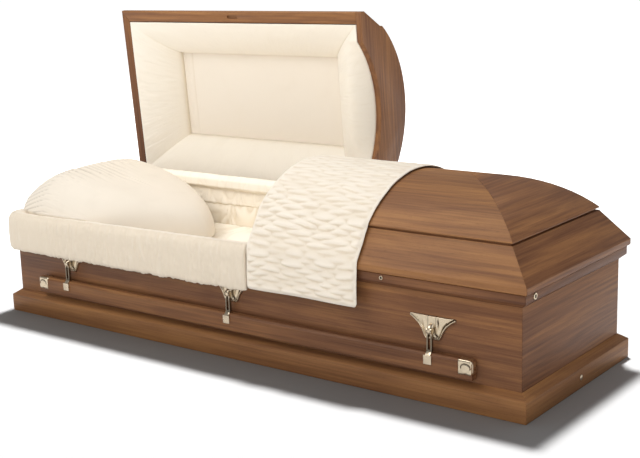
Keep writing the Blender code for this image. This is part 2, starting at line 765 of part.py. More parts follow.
# Handles. An ear and an arm are built at x = 0 on the front and set along the wall.
def ear_mesh():
    """Winged plate with a lug that carries the arm's pin."""
    wall = -(HY + FIT)
    half = [
        (0.0, EAR_ABOVE),
        (EAR_HALF, EAR_ABOVE),
        (EAR_HALF, EAR_ABOVE - EAR_WING),
        (0.80 * EAR_HALF, 0.54 * EAR_ABOVE),
        (0.61 * EAR_HALF, 0.23 * EAR_ABOVE),
        (0.47 * EAR_HALF, -0.23 * EAR_BELOW),
        (0.39 * EAR_HALF, -0.73 * EAR_BELOW),
        (0.29 * EAR_HALF, -EAR_BELOW),
        (0.17 * EAR_HALF, -0.86 * EAR_BELOW),
        (0.0, -0.91 * EAR_BELOW),
    ]
    outline = half + [(-x, z) for x, z in half[-2:0:-1]]
    rings = []
    for shrink, thick in ((1.0, 0.0), (1.0, 0.6), (0.93, 1.0)):
        rings.append([(x * shrink, wall - thick * EAR_THICK, PIVOT_Z + z * shrink) for x, z in outline])
    plate = closed_mesh("plate", *loft(rings))
    turns = [math.pi * i / 8 for i in range(9)]
    root = wall - EAR_THICK / 2
    nose = [(-PIVOT_Y - BOSS * math.sin(a), PIVOT_Z + BOSS * math.cos(a)) for a in turns]
    lug_outline = [(root, PIVOT_Z + 2 * BOSS)] + nose + [(root, PIVOT_Z - 1.6 * BOSS)]
    lug = prism("lug", lug_outline, -LUG_WIDTH / 2, LUG_WIDTH / 2)
    bore = prism("bore", circle(PIN + PIN_PLAY, (-PIVOT_Y, PIVOT_Z), 10), -LUG_WIDTH, LUG_WIDTH)
    return fuse("ear", [plate, lug], [bore])


def arm_mesh():
    """Forked arm on its pin, with the strap and the square clip that hold the bar."""
    foot = BAR_TOP + FIT
    rear = -PIVOT_Y + TINE_DEEP / 2
    face = -PIVOT_Y - TINE_DEEP / 2
    solids = []
    for sign in (-1, 1):
        inner = LUG_WIDTH / 2 + TINE_PLAY
        ends = sorted((sign * inner, sign * (inner + TINE)))
        tine = [(face, foot), (rear, foot), (rear, PIVOT_Z), (face, PIVOT_Z)]
        solids.append(prism("tine", tine, *ends))
        solids.append(prism("boss", circle(BOSS, (-PIVOT_Y, PIVOT_Z), 12), *ends))
    solids.append(prism("pin", circle(PIN, (-PIVOT_Y, PIVOT_Z), 8), -LUG_WIDTH, LUG_WIDTH))
    clip_top = BAR_TOP - BAR_BEVEL + CLIP_THICK
    strap = [
        (rear, foot),
        (rear, foot + STRAP),
        (face, foot + STRAP),
        (-BAR_FRONT + BAR_BEVEL - CLIP_THICK / 2, foot + 1.5 * CLIP_THICK),
        (-BAR_FRONT - CLIP_THICK, clip_top - CLIP_THICK / 2),
        (-BAR_FRONT - CLIP_THICK, clip_top - CLIP / 2),
        (-BAR_FRONT - FIT, clip_top - CLIP / 2),
        (-BAR_FRONT - FIT, BAR_TOP - BAR_BEVEL + FIT / 2),
        (-BAR_FRONT + BAR_BEVEL, foot),
    ]
    solids.append(prism("strap", strap, -ARM_WIDTH / 2, ARM_WIDTH / 2))
    clip_face = -BAR_FRONT - 1.5 * CLIP_THICK
    low = (-CLIP / 2, clip_face, clip_top - CLIP)
    high = (CLIP / 2, -BAR_FRONT - FIT, clip_top)
    solids.append(box("clip", low, high))
    return fuse("arm", solids)


def bar_outline(grow=0.0):
    """The bar's section as pairs (y, z), made larger all round by grow."""
    front = -BAR_FRONT - grow
    back = -(HY + BAR_OFF) + grow
    top = BAR_TOP + grow
    bottom = BAR_BOTTOM - grow
    return [
        (back, bottom),
        (front + BAR_EDGE, bottom),
        (front, bottom + BAR_EDGE),
        (front, top - BAR_BEVEL),
        (front + BAR_BEVEL, top),
        (back, top),
    ]


def cap_mesh():
    """End cap over the bar's end at +X: a short box of the bar's section, hollow where the bar goes in."""
    start = BAR_HALF - CAP_LENGTH
    solid = prism("cap", bar_outline(FIT + CAP_OVER), start, BAR_HALF)
    hollow = prism("hollow", bar_outline(FIT), start - CAP_LENGTH, BAR_HALF - CAP_OVER - FIT)
    return fuse("cap", [solid], [hollow])


def make_handles():
    """The bar, its caps and its arms on each long side, and the ears that they hang from."""
    ear = ear_mesh()
    arm = arm_mesh()
    cap = cap_mesh()
    bar_end = BAR_HALF - CAP_OVER - 2 * FIT
    bar = prism("bar", bar_outline(), -bar_end, bar_end)
    places = {"head": -ARM_X, "middle": 0.0, "foot": ARM_X}
    for side, half_turn in (("front", False), ("back", True)):
        face = Matrix.Rotation(math.pi, 4, "Z") if half_turn else Matrix.Identity(4)
        sign = -1 if half_turn else 1
        pivot = axis_empty(f"{side}_handle_axis", (0.0, -sign * PIVOT_Y, PIVOT_Z))
        place(f"{side}_bar", bar, WALNUT, pivot, face)
        for end in (-1, 1):
            turned = face if end * sign > 0 else face @ Matrix.Scale(-1, 4, Vector((1, 0, 0)))
            made = place(f"{side}_bar_cap_{'foot' if end > 0 else 'head'}", cap, BRASS, pivot, turned)
            if turned.determinant() < 0:
                made.data.flip_normals()
        for spot, x in places.items():
            along = Matrix.Translation((x, 0.0, 0.0)) @ face
            place(f"{side}_ear_{spot}", ear, BRASS, None, along)
            place(f"{side}_arm_{spot}", arm, BRASS, pivot, along)


def ring_mesh(radius, hole):
    """A flat ring with its back at z = 0, bevelled towards the front."""
    thick = FITTING_THICK
    profile = [(hole, 0.0), (radius, 0.0), (radius, thick / 2), (0.88 * radius, thick), (hole, thick)]
    rings = [[(x, y, z) for x, y in circle(r)] for r, z in profile]
    return closed_mesh("ring", *loft(rings, close=True))


def make_fittings():
    """Lock ring on the foot end, catch ring on the front and the plain cap on the foot end's plinth."""
    foot_face = Matrix.Rotation(math.pi / 2, 4, "Y")
    front_face = Matrix.Rotation(math.pi / 2, 4, "X")
    rim_middle = BODY_HEIGHT - (RIM_TALL - RIM_COVE) / 2
    lock_place = Matrix.Translation((HX + RIM_OUT + FIT, LOCK_IN - HY, rim_middle))
    place("foot_end_lock", ring_mesh(LOCK_RADIUS, LOCK_HOLE), BRASS, None, lock_place @ foot_face)
    catch_place = Matrix.Translation((CATCH_X, -(HY + RIM_OUT + FIT), rim_middle))
    place("front_catch", ring_mesh(CATCH_RADIUS, CATCH_HOLE), BRASS, None, catch_place @ front_face)
    disc = []
    for share, z in ((1.0, 0.0), (1.0, 0.4 * FITTING_THICK), (0.6, FITTING_THICK)):
        disc.append([(x, y, z) for x, y in circle(share * BASE_CAP_RADIUS)])
    cap_place = Matrix.Translation((HX + BASE_OUT + FIT, 0.0, BASE_CAP_Z))
    place("base_cap", closed_mesh("disc", *loft(disc)), BRASS, None, cap_place @ foot_face)


make_box()
head_axis = axis_empty("head_lid_axis", (0.0, HINGE_Y, HINGE_Z), -math.radians(LID_OPENING))
foot_axis = axis_empty("foot_lid_axis", (0.0, HINGE_Y, HINGE_Z))
make_lid("head_lid", -1, head_axis)
make_lid("foot_lid", 1, foot_axis)
make_throw(foot_axis)
make_flap()
make_bed()
make_handles()
make_fittings()
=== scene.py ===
"""Looks of the half-couch wooden coffin: eased walnut boards, pale brass fittings and real cloth.

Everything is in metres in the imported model's frame: X along the coffin, the head end at -X, the front long
side at -Y, Z up. The head lid's cloth is worked out for the shut lid and then turned open with it.
"""

import json
import logging
import math
from dataclasses import dataclass, field
from enum import Enum

import bmesh
import bpy
import numpy as np
from mathutils import Matrix, Vector

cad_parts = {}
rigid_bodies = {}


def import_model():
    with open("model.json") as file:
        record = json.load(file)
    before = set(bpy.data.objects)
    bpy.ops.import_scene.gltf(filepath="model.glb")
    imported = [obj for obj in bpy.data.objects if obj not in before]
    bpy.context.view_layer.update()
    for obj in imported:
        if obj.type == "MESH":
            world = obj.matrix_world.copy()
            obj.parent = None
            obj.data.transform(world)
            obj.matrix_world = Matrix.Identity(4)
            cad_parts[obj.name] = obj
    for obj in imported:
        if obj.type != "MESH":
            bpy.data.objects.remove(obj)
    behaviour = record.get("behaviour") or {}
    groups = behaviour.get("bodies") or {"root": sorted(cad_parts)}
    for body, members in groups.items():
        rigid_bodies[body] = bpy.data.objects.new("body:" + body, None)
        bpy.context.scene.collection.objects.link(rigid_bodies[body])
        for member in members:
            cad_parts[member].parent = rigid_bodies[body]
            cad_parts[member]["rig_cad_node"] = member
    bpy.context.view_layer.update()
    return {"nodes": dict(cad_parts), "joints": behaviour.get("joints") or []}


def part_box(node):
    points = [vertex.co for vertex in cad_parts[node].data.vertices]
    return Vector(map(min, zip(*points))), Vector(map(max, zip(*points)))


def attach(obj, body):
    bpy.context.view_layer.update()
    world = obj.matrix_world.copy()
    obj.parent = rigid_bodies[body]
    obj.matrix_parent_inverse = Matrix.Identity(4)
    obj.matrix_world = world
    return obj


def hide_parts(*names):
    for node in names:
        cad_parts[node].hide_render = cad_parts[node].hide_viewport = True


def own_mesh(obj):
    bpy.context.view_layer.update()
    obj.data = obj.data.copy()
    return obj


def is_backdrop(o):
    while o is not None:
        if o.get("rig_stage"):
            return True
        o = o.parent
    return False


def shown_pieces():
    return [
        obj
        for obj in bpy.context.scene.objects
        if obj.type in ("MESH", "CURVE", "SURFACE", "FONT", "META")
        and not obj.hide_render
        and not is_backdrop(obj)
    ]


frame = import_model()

LOG = logging.getLogger("coffin")

Array = np.ndarray
Colour = tuple[float, float, float, float]
WHITE: Colour = (1.0, 1.0, 1.0, 1.0)


# Shaders
class Num:
    """A number inside a shader. Python's operators on it add Math nodes."""

    def __init__(self, graph: "Graph", socket: bpy.types.NodeSocket) -> None:
        """Wrap a socket of a graph."""
        self.graph = graph
        self.socket = socket

    def math(self, operation: str, *values: "Num | float") -> "Num":
        """Add one Math node.

        Args:
            operation: the node's operation.
            values: its inputs, in order.

        Returns:
            The node's result.
        """
        node = self.graph.add("ShaderNodeMath", {"operation": operation}, dict(enumerate(values)))
        return Num(self.graph, node.outputs[0])

    def __add__(self, other: "Num | float") -> "Num":
        """Sum."""
        return self.math("ADD", self, other)

    def __radd__(self, other: float) -> "Num":
        """Sum, number first."""
        return self.math("ADD", other, self)

    def __sub__(self, other: "Num | float") -> "Num":
        """Difference."""
        return self.math("SUBTRACT", self, other)

    def __rsub__(self, other: float) -> "Num":
        """Difference, number first."""
        return self.math("SUBTRACT", other, self)

    def __mul__(self, other: "Num | float") -> "Num":
        """Product."""
        return self.math("MULTIPLY", self, other)

    def __rmul__(self, other: float) -> "Num":
        """Product, number first."""
        return self.math("MULTIPLY", other, self)

    def sine(self) -> "Num":
        """Sine."""
        return self.math("SINE", self)

    def between(self, low: float, high: float) -> "Num":
        """A smooth step from 0 at low to 1 at high.

        Args:
            low: where the step starts.
            high: where it ends.

        Returns:
            The stepped value.
        """
        sockets = {"Value": self, "From Min": low, "From Max": high}
        node = self.graph.add("ShaderNodeMapRange", {"interpolation_type": "SMOOTHSTEP"}, sockets)
        return Num(self.graph, node.outputs["Result"])


class Graph:
    """A material's node tree."""

    def __init__(self, name: str) -> None:
        """Start an empty material.

        Args:
            name: the material's name.
        """
        self.material = bpy.data.materials.new(name)
        self.material.use_nodes = True
        self.tree = self.material.node_tree
        self.tree.nodes.clear()

    def add(self, kind: str, settings: dict | None = None, sockets: dict | None = None) -> bpy.types.Node:
        """Add a node.

        Args:
            kind: the node's type.
            settings: its own settings, set first; "stops" are a ramp's (place, colour) pairs.
            sockets: values or links for its inputs, by name or place.

        Returns:
            The node.
        """
        node = self.tree.nodes.new(kind)
        for key, value in (settings or {}).items():
            if key == "stops":
                ramp = node.color_ramp
                while len(ramp.elements) < len(value):
                    ramp.elements.new(0.5)
                for stop, (place, colour) in zip(ramp.elements, value):
                    stop.position = place
                    stop.color = colour
            else:
                setattr(node, key, value)
        for key, value in (sockets or {}).items():
            self.feed(node.inputs[key], value)
        return node

    def feed(self, socket: bpy.types.NodeSocket, value: object) -> None:
        """Set a socket to a value, or link it.

        Args:
            socket: a node's input.
            value: a number, a colour, a socket or a Num.
        """
        if isinstance(value, Num):
            value = value.socket
        if isinstance(value, bpy.types.NodeSocket):
            self.tree.links.new(value, socket)
        else:
            socket.default_value = value

    def noise(
        self, at: bpy.types.NodeSocket, scale: tuple[float, float, float], detail: float, rough: float
    ) -> Num:
        """Noise from 0 to 1 at a place that is first scaled.

        Args:
            at: the place.
            scale: how many features to the metre along each axis.
            detail: the noise's octaves.
            rough: how strong the finer ones are.

        Returns:
            The noise.
        """
        placed = self.add("ShaderNodeMapping", {"vector_type": "POINT"}, {"Vector": at, "Scale": scale})
        sockets = {"Vector": placed.outputs["Vector"], "Scale": 1.0, "Detail": detail, "Roughness": rough}
        return Num(self, self.add("ShaderNodeTexNoise", {}, sockets).outputs["Fac"])

    def mix(self, share: "Num | float", first: object, second: object) -> bpy.types.NodeSocket:
        """Blend two colours.

        Args:
            share: 0 gives the first, 1 the second.
            first: a colour or a link.
            second: a colour or a link.

        Returns:
            The blended colour.
        """
        settings = {"data_type": "RGBA"}
        return self.add("ShaderNodeMix", settings, {0: share, 6: first, 7: second}).outputs[2]

    def bump(self, height: Num, strength: float, depth: float) -> bpy.types.NodeSocket:
        """A bumped normal from a height, at a depth in metres."""
        sockets = {"Height": height, "Strength": strength, "Distance": depth}
        return self.add("ShaderNodeBump", {}, sockets).outputs["Normal"]

    def finish(self, sockets: dict) -> bpy.types.Material:
        """Close the tree with a Principled shader.

        Args:
            sockets: the shader's values and links.

        Returns:
            The material.
        """
        shader = self.add("ShaderNodeBsdfPrincipled", {}, sockets)
        self.add("ShaderNodeOutputMaterial", {}, {"Surface": shader.outputs["BSDF"]})
        return self.material


@dataclass(frozen=True)
class Walnut:
    """Lacquered walnut. It reads a board's tone, partly painted light and shade, and its grain attribute:
    metres along, across and deep.
    """

    dark: Colour = (0.075, 0.028, 0.014, 1.0)
    middle: Colour = (0.195, 0.083, 0.036, 1.0)
    light: Colour = (0.370, 0.172, 0.062, 1.0)
    lacquer: float = 0.46

    def material(self) -> bpy.types.Material:
        """Broad figure, bands that wander, fine streaks and short dark pores.

        Returns:
            The material.
        """
        graph = Graph("walnut_lacquer")
        grain = graph.add("ShaderNodeAttribute", {"attribute_name": "grain"}).outputs["Vector"]
        board = Num(graph, graph.add("ShaderNodeAttribute", {"attribute_name": "board"}).outputs["Fac"])
        figure = graph.noise(grain, (1.1, 12.0, 12.0), 3.0, 0.55)
        wander = graph.noise(grain, (1.6, 7.0, 7.0), 2.0, 0.5)
        streak = graph.noise(grain, (2.2, 120.0, 120.0), 5.0, 0.66)
        pore = graph.noise(grain, (45.0, 1100.0, 1100.0), 2.0, 0.5)
        across = Num(graph, graph.add("ShaderNodeSeparateXYZ", {}, {"Vector": grain}).outputs["Y"])
        band = (across * 330.0 + wander * 34.0).sine() * 0.5 + 0.5
        tone = figure.between(0.25, 0.78) * 0.46 + band * 0.11 + streak.between(0.25, 0.78) * 0.42 + board
        stops = [(0.0, self.dark), (0.46, self.middle), (1.0, self.light)]
        colour = graph.add("ShaderNodeValToRGB", {"stops": stops}, {"Fac": tone}).outputs["Color"]
        open_pore = pore.between(0.60, 0.72)
        colour = graph.mix(open_pore * 0.45, colour, self.dark)
        rough = self.lacquer + figure * 0.10
        normal = graph.bump(streak * 0.6 - open_pore, 0.25, 0.0004)
        return graph.finish({"Base Color": colour, "Roughness": rough, "Normal": normal,
                             "Specular IOR Level": 0.22, "Coat Weight": 0.03, "Coat Roughness": 0.2})


@dataclass(frozen=True)
class Brass:
    """Pale polished brass, mottled, and with a faint unevenness from casting."""

    name: str = "pale_brass"
    colour: Colour = (0.66, 0.55, 0.40, 1.0)
    # The dark colour: patina in a chased piece's hollows, with painted shade, and painted shade on the arms.
    dark_patina_and_shade: Colour = (0.045, 0.032, 0.022, 1.0)
    rough: float = 0.22
    chased: bool = False
    # Heights between which the brass is darkened with painted shade.
    shade_band: tuple[float, float] | None = None

    def material(self) -> bpy.types.Material:
        """Dark in a chased piece's grooves and round its edges, told by its fold attribute: patina with
        painted shade. On a piece with a shade band, painted shade between two heights.

        Returns:
            The material.
        """
        graph = Graph(self.name)
        at = graph.add("ShaderNodeTexCoord").outputs["Object"]
        cloud = graph.noise(at, (60.0, 60.0, 60.0), 3.0, 0.5)
        fine = graph.noise(at, (900.0, 900.0, 900.0), 2.0, 0.5)
        # A darker brass that the mottling blends in.
        wear_and_shade = tuple(0.72 * c for c in self.colour[:3]) + (1.0,)
        colour = graph.mix(cloud.between(0.45, 0.8) * 0.5, self.colour, wear_and_shade)
        rough = self.rough + cloud * 0.14
        if self.chased:
            # Patina in the grooves, with painted shade along the edges and seams.
            held = Num(graph, graph.add("ShaderNodeAttribute", {"attribute_name": "fold"}).outputs["Fac"])
            colour = graph.mix(held.between(0.1, 0.8), self.dark_patina_and_shade, colour)
        if self.shade_band:
            # Painted shade: the brass is darkened between the two heights.
            low, high = self.shade_band
            height = Num(graph, graph.add("ShaderNodeSeparateXYZ", {}, {"Vector": at}).outputs["Z"])
            dark = height.between(low, low + 0.005) * height.between(high + 0.008, high)
            colour = graph.mix(dark * 0.66, colour, self.dark_patina_and_shade)
        normal = graph.bump(fine, 0.08, 0.0002)
        return graph.finish({"Base Color": colour, "Metallic": 1.0, "Roughness": rough, "Normal": normal})


@dataclass(frozen=True)
class Cloth:
    """Cream cloth. It reads its painted shade from the fold attribute, 0 deep in the folds to 1 on a lit
    crest, and its own UV map in metres.
    """

    name: str = "cream_crepe"
    crest: Colour = (0.905, 0.815, 0.690, 1.0)
    # The colour of the painted shade in the folds.
    fold: Colour = (0.800, 0.690, 0.545, 1.0)
    thread: float = 0.0011
    relief: float = 0.0003

    def material(self) -> bpy.types.Material:
        """Painted shade: folds deeper in colour than crests. A crossed thread and fine crinkle are in the
        relief.

        Returns:
            The material.
        """
        graph = Graph(self.name)
        uv = graph.add("ShaderNodeUVMap", {"uv_map": "cloth"}).outputs["UV"]
        parts = graph.add("ShaderNodeSeparateXYZ", {}, {"Vector": uv})
        turn = 2 * math.pi / self.thread
        warp = (Num(graph, parts.outputs["X"]) * turn).sine()
        weft = (Num(graph, parts.outputs["Y"]) * turn).sine()
        crepe = graph.noise(uv, (420.0, 420.0, 420.0), 3.0, 0.6)
        patch = graph.noise(uv, (9.0, 9.0, 9.0), 3.0, 0.5)
        held = Num(graph, graph.add("ShaderNodeAttribute", {"attribute_name": "fold"}).outputs["Fac"])
        colour = graph.mix(held.between(0.05, 0.75), self.fold, self.crest)
        colour = graph.mix(patch.between(0.5, 0.9) * 0.18, colour, self.fold)
        normal = graph.bump(crepe + warp * weft * 0.25, 0.35, self.relief)
        return graph.finish({"Base Color": colour, "Roughness": 0.82 + crepe * 0.1, "Normal": normal,
                             "Sheen Weight": 0.15, "Sheen Roughness": 0.5})


# The second colour of each is the painted shade in its folds.
INNER = Cloth("inner_crepe", (0.935, 0.858, 0.732, 1.0), (0.815, 0.715, 0.560, 1.0))
SATIN = Cloth("pillow_satin", (0.860, 0.772, 0.650, 1.0), (0.560, 0.475, 0.375, 1.0))


@dataclass(frozen=True)
class Dark:
    """Near-black colour inside the lock holes, painted shade, faintly clouded."""

    deep: Colour = (0.010, 0.009, 0.008, 1.0)
    bright: Colour = (0.030, 0.026, 0.022, 1.0)

    def material(self) -> bpy.types.Material:
        """A noise blends the two colours and varies the roughness.

        Returns:
            The material.
        """
        graph = Graph("hole_shade_black")
        at = graph.add("ShaderNodeTexCoord").outputs["Object"]
        cloud = graph.noise(at, (200.0, 200.0, 200.0), 2.0, 0.5)
        colour = graph.mix(cloud, self.deep, self.bright)
        return graph.finish({"Base Color": colour, "Metallic": 0.6, "Roughness": 0.4 + cloud * 0.2})


# Surfaces
def lattice(column: Array, row: Array, seed: float) -> Array:
    """Numbers from -1 to 1 fixed to whole-number places: what a large sine leaves after its whole part."""
    turned = np.sin(column * 127.1 + row * 311.7 + seed * 74.7) * 43758.5453
    return 2.0 * (turned - np.floor(turned)) - 1.0


def drift(u: Array, v: Array, seed: float) -> Array:
    """Smooth noise from -1 to 1: the four lattice numbers round a place, blended by 3t^2 - 2t^3 each way.

    Args:
        u: place along the first axis, in cells.
        v: place along the second axis, in cells.
        seed: picks one of many such fields.

    Returns:
        The noise at each place.
    """
    u, v = np.broadcast_arrays(np.asarray(u, float), np.asarray(v, float))
    left, low = np.floor(u), np.floor(v)
    s, t = u - left, v - low
    s, t = s * s * (3 - 2 * s), t * t * (3 - 2 * t)
    bottom = lattice(left, low, seed) * (1 - s) + lattice(left + 1, low, seed) * s
    top = lattice(left, low + 1, seed) * (1 - s) + lattice(left + 1, low + 1, seed) * s
    return bottom * (1 - t) + top * t


def rumple(u: Array, v: Array, seed: float, layers: int = 3) -> Array:
    """Drift summed over layers, each twice as fine and half as strong as the one before."""
    total = sum(drift(u * 2**k, v * 2**k, seed + 7 * k) / 2**k for k in range(layers))
    return total / (2 - 2 ** (1 - layers))


def crest(x: Array) -> Array:
    """Rounded ridges between sharp valleys: 2 |x|^0.6 - 1, for noise from -1 to 1."""
    return 2 * np.abs(x) ** 0.6 - 1


def smooth_step(x: Array, low: float, high: float) -> Array:
    """3t^2 - 2t^3 from 0 at low to 1 at high."""
    t = np.clip((np.asarray(x, float) - low) / (high - low), 0, 1)
    return t * t * (3 - 2 * t)


def path_lengths(points: Array) -> Array:
    """Distance along a path to each of its points."""
    return np.r_[0, np.cumsum(np.linalg.norm(np.diff(points, axis=0), axis=1))]


def loop_lengths(loop: Array) -> Array:
    """Distance along a closed path to each of its points."""
    return path_lengths(np.vstack([loop, loop[:1]]))[:-1]


def even_path(points: Array, count: int, closed: bool = False, soften: float = 0.0) -> Array:
    """Points spaced evenly along a path.

    Args:
        points: the path's corners, one row each.
        count: how many points to give.
        closed: whether the path comes back to its start.
        soften: length over which corners are averaged away.

    Returns:
        An array of count rows. A closed path's last point isn't its first.
    """
    points = np.asarray(points, float)
    if closed:
        points = np.vstack([points, points[:1]])
    steps = path_lengths(points)
    fine = max(count * 4, 400)
    at = np.linspace(0, steps[-1], fine, endpoint=not closed)
    dense = np.stack([np.interp(at, steps, points[:, k]) for k in range(points.shape[1])], 1)
    reach = int(soften / steps[-1] * fine / 2)
    if reach:
        window = np.hanning(2 * reach + 3)[1:-1]
        window /= window.sum()
        mode = "wrap" if closed else "reflect"
        ends = {} if closed else {"reflect_type": "odd"}
        padded = np.pad(dense, ((reach, reach), (0, 0)), mode=mode, **ends)
        dense = np.stack([np.convolve(padded[:, k], window, "valid") for k in range(dense.shape[1])], 1)
    if closed:
        dense = np.vstack([dense, dense[:1]])
    steps = path_lengths(dense)
    at = np.linspace(0, steps[-1], count, endpoint=not closed)
    return np.stack([np.interp(at, steps, dense[:, k]) for k in range(dense.shape[1])], 1)




def path_normals(points: Array, closed: bool = False) -> Array:
    """Unit normals of a flat path, on the left of its direction.

    Args:
        points: the path, one row a point.
        closed: whether its last point joins its first.

    Returns:
        One normal for each point.
    """
    if closed:
        along = np.roll(points, -1, 0) - np.roll(points, 1, 0)
    else:
        along = np.gradient(points, axis=0)
    along /= np.linalg.norm(along, axis=1)[:, None]
    return np.stack([-along[:, 1], along[:, 0]], 1)


def outward_normals(loop: Array) -> Array:
    """Unit normals of a closed flat path, away from its middle."""
    normal = path_normals(loop, closed=True)
    return normal if np.sum(normal * (loop - loop.mean(0))) >= 0 else -normal


def grid(*parts: Array) -> Array:
    """Arrays spread to one shape and set side by side along a new last axis."""
    return np.stack(np.broadcast_arrays(*parts), -1)


def surface(
    name: str,
    points: Array,
    uv: Array | None = None,
    fold: Array | None = None,
    wrap_rows: bool = False,
    wrap_columns: bool = False,
    caps: bool = False,
    flip: bool = False,
) -> bpy.types.Object:
    """Put a grid of points in the scene as a smooth mesh.

    Args:
        name: the piece's name.
        points: rows by columns by 3.
        uv: rows by columns by 2, in metres.
        fold: rows by columns, painted shade, on brass also patina: 0 darkest in the folds and grooves, 1 on a
            crest.
        wrap_rows: whether the last row joins the first.
        wrap_columns: whether the last column joins the first.
        caps: whether the open ends of wrapped rows or columns get a face.
        flip: turn the faces round.

    Returns:
        The object, at the origin.
    """
    rows, columns = points.shape[:2]
    index = np.arange(rows * columns).reshape(rows, columns)
    if wrap_rows:
        index = np.vstack([index, index[:1]])
    if wrap_columns:
        index = np.hstack([index, index[:, :1]])
    quads = np.stack([index[:-1, :-1], index[:-1, 1:], index[1:, 1:], index[1:, :-1]], -1).reshape(-1, 4)
    if flip:
        quads = quads[:, ::-1]
    mesh = bpy.data.meshes.new(name)
    mesh.vertices.add(rows * columns)
    mesh.vertices.foreach_set("co", np.ascontiguousarray(points, np.float32).ravel())
    ends = []
    if caps and wrap_rows:
        ends = [index[:-1, 0], index[:-1, -1][::-1]]
    elif caps and wrap_columns:
        ends = [index[0, :-1][::-1], index[-1, :-1]]
    if flip:
        ends = [end[::-1] for end in ends]
    loops = np.concatenate([quads.ravel(), *ends]).astype(np.int32)
    sizes = np.r_[np.full(len(quads), 4), [len(end) for end in ends]].astype(np.int32)
    mesh.loops.add(len(loops))
    mesh.loops.foreach_set("vertex_index", loops)
    mesh.polygons.add(len(sizes))
    mesh.polygons.foreach_set("loop_start", np.r_[0, np.cumsum(sizes)[:-1]].astype(np.int32))
    mesh.update(calc_edges=True)
    flat = np.zeros((rows * columns, 2)) if uv is None else np.asarray(uv, float).reshape(-1, 2)
    mesh.uv_layers.new(name="cloth").data.foreach_set("uv", flat[loops].astype(np.float32).ravel())
    held = np.ones(rows * columns) if fold is None else np.clip(np.asarray(fold, float).ravel(), 0, 1)
    mesh.attributes.new("fold", "FLOAT", "POINT").data.foreach_set("value", held.astype(np.float32))
    mesh.shade_smooth()
    piece = bpy.data.objects.new(name, mesh)
    bpy.context.scene.collection.objects.link(piece)
    return piece


def dress(
    piece: bpy.types.Object, finish: bpy.types.Material, body: str, slot: str, *nodes: str
) -> bpy.types.Object:
    """Give a piece its material and its body, and hide the nodes it stands for.

    Args:
        piece: the new piece.
        finish: its material.
        body: the body it rides on.
        slot: not used.
        nodes: CAD nodes that it replaces.

    Returns:
        The piece.
    """
    piece.data.materials.clear()
    piece.data.materials.append(finish)
    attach(piece, body)
    if nodes:
        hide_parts(*nodes)
    return piece


def thicken(piece: bpy.types.Object, thickness: float) -> None:
    """Give a sheet its thickness, away from its faces.

    Args:
        piece: the sheet.
        thickness: in metres.
    """
    wall = piece.modifiers.new("thickness", "SOLIDIFY")
    wall.thickness = thickness
    wall.offset = -1.0


def mend(mesh: bpy.types.Mesh, merge: bool = True, flatten: bool = False, outward: bool = False) -> None:
    """Clean a mesh in place.

    Args:
        mesh: the mesh.
        merge: whether points that share a place become one.
        flatten: whether faces that lie in one plane are joined.
        outward: whether the faces are turned outwards.
    """
    shape = bmesh.new()
    shape.from_mesh(mesh)
    if merge:
        bmesh.ops.remove_doubles(shape, verts=shape.verts, dist=1e-5)
    if flatten:
        bmesh.ops.dissolve_limit(shape, angle_limit=math.radians(0.5), verts=shape.verts, edges=shape.edges)
    if outward:
        bmesh.ops.recalc_face_normals(shape, faces=shape.faces)
    shape.to_mesh(mesh)
    shape.free()


def rounded_copy(node: str, name: str, width: float, segments: int, angle: float) -> bpy.types.Object:
    """A copy of a CAD solid with its edges rounded.

    Args:
        node: the CAD solid.
        name: the copy's name.
        width: how far its edges are rounded.
        segments: how many faces cross a rounded edge.
        angle: degrees under which an edge is left as it is.

    Returns:
        The copy, at the origin.
    """
    mesh = frame["nodes"][node].data.copy()
    mend(mesh, flatten=True)
    mesh.shade_smooth()
    mesh.name = name
    piece = bpy.data.objects.new(name, mesh)
    bpy.context.scene.collection.objects.link(piece)
    edge = piece.modifiers.new("rounded", "BEVEL")
    edge.width = width
    edge.segments = segments
    edge.limit_method = "ANGLE"
    edge.angle_limit = math.radians(angle)
    edge.harden_normals = True
    return piece


def arm_brass_painted_shade() -> Brass:
    """The arms' brass: bright at the pin and at the clip on the bar, and darkened between them with painted
    shade.
    """
    bar_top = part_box("front_bar")[1].z
    return Brass("arm_brass_painted_shade", (0.60, 0.50, 0.37, 1.0), shade_band=(bar_top + 0.001, bar_top + 0.046))


@dataclass
class Finishes:
    """The materials, made once."""

    wood: bpy.types.Material = field(default_factory=lambda: Walnut().material())
    brass: bpy.types.Material = field(default_factory=lambda: Brass().material())
    chased: bpy.types.Material = field(default_factory=lambda: Brass("chased_brass", chased=True).material())
    # The arms' brass, with painted shade on its middle stretch.
    wear_and_shade: bpy.types.Material = field(default_factory=lambda: arm_brass_painted_shade().material())
    crepe: bpy.types.Material = field(default_factory=lambda: Cloth().material())
    inner: bpy.types.Material = field(default_factory=lambda: INNER.material())
    satin: bpy.types.Material = field(default_factory=lambda: SATIN.material())
    dark: bpy.types.Material = field(default_factory=lambda: Dark().material())


class Side(Enum):
    """Which of the two lids."""

    HEAD = -1
    FOOT = 1


class Reach(Enum):
    """How a light takes the pieces it is given."""

    ONLY = "INCLUDE"
    ALL_BUT = "EXCLUDE"


class Lay(Enum):
    """Which way a board's grain runs."""

    LONG = (0, 1, 2)
    WIDE = (1, 2, 0)


def joint(name: str) -> dict:
    """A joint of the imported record."""
    return next(j for j in frame["joints"] if j["name"] == name)


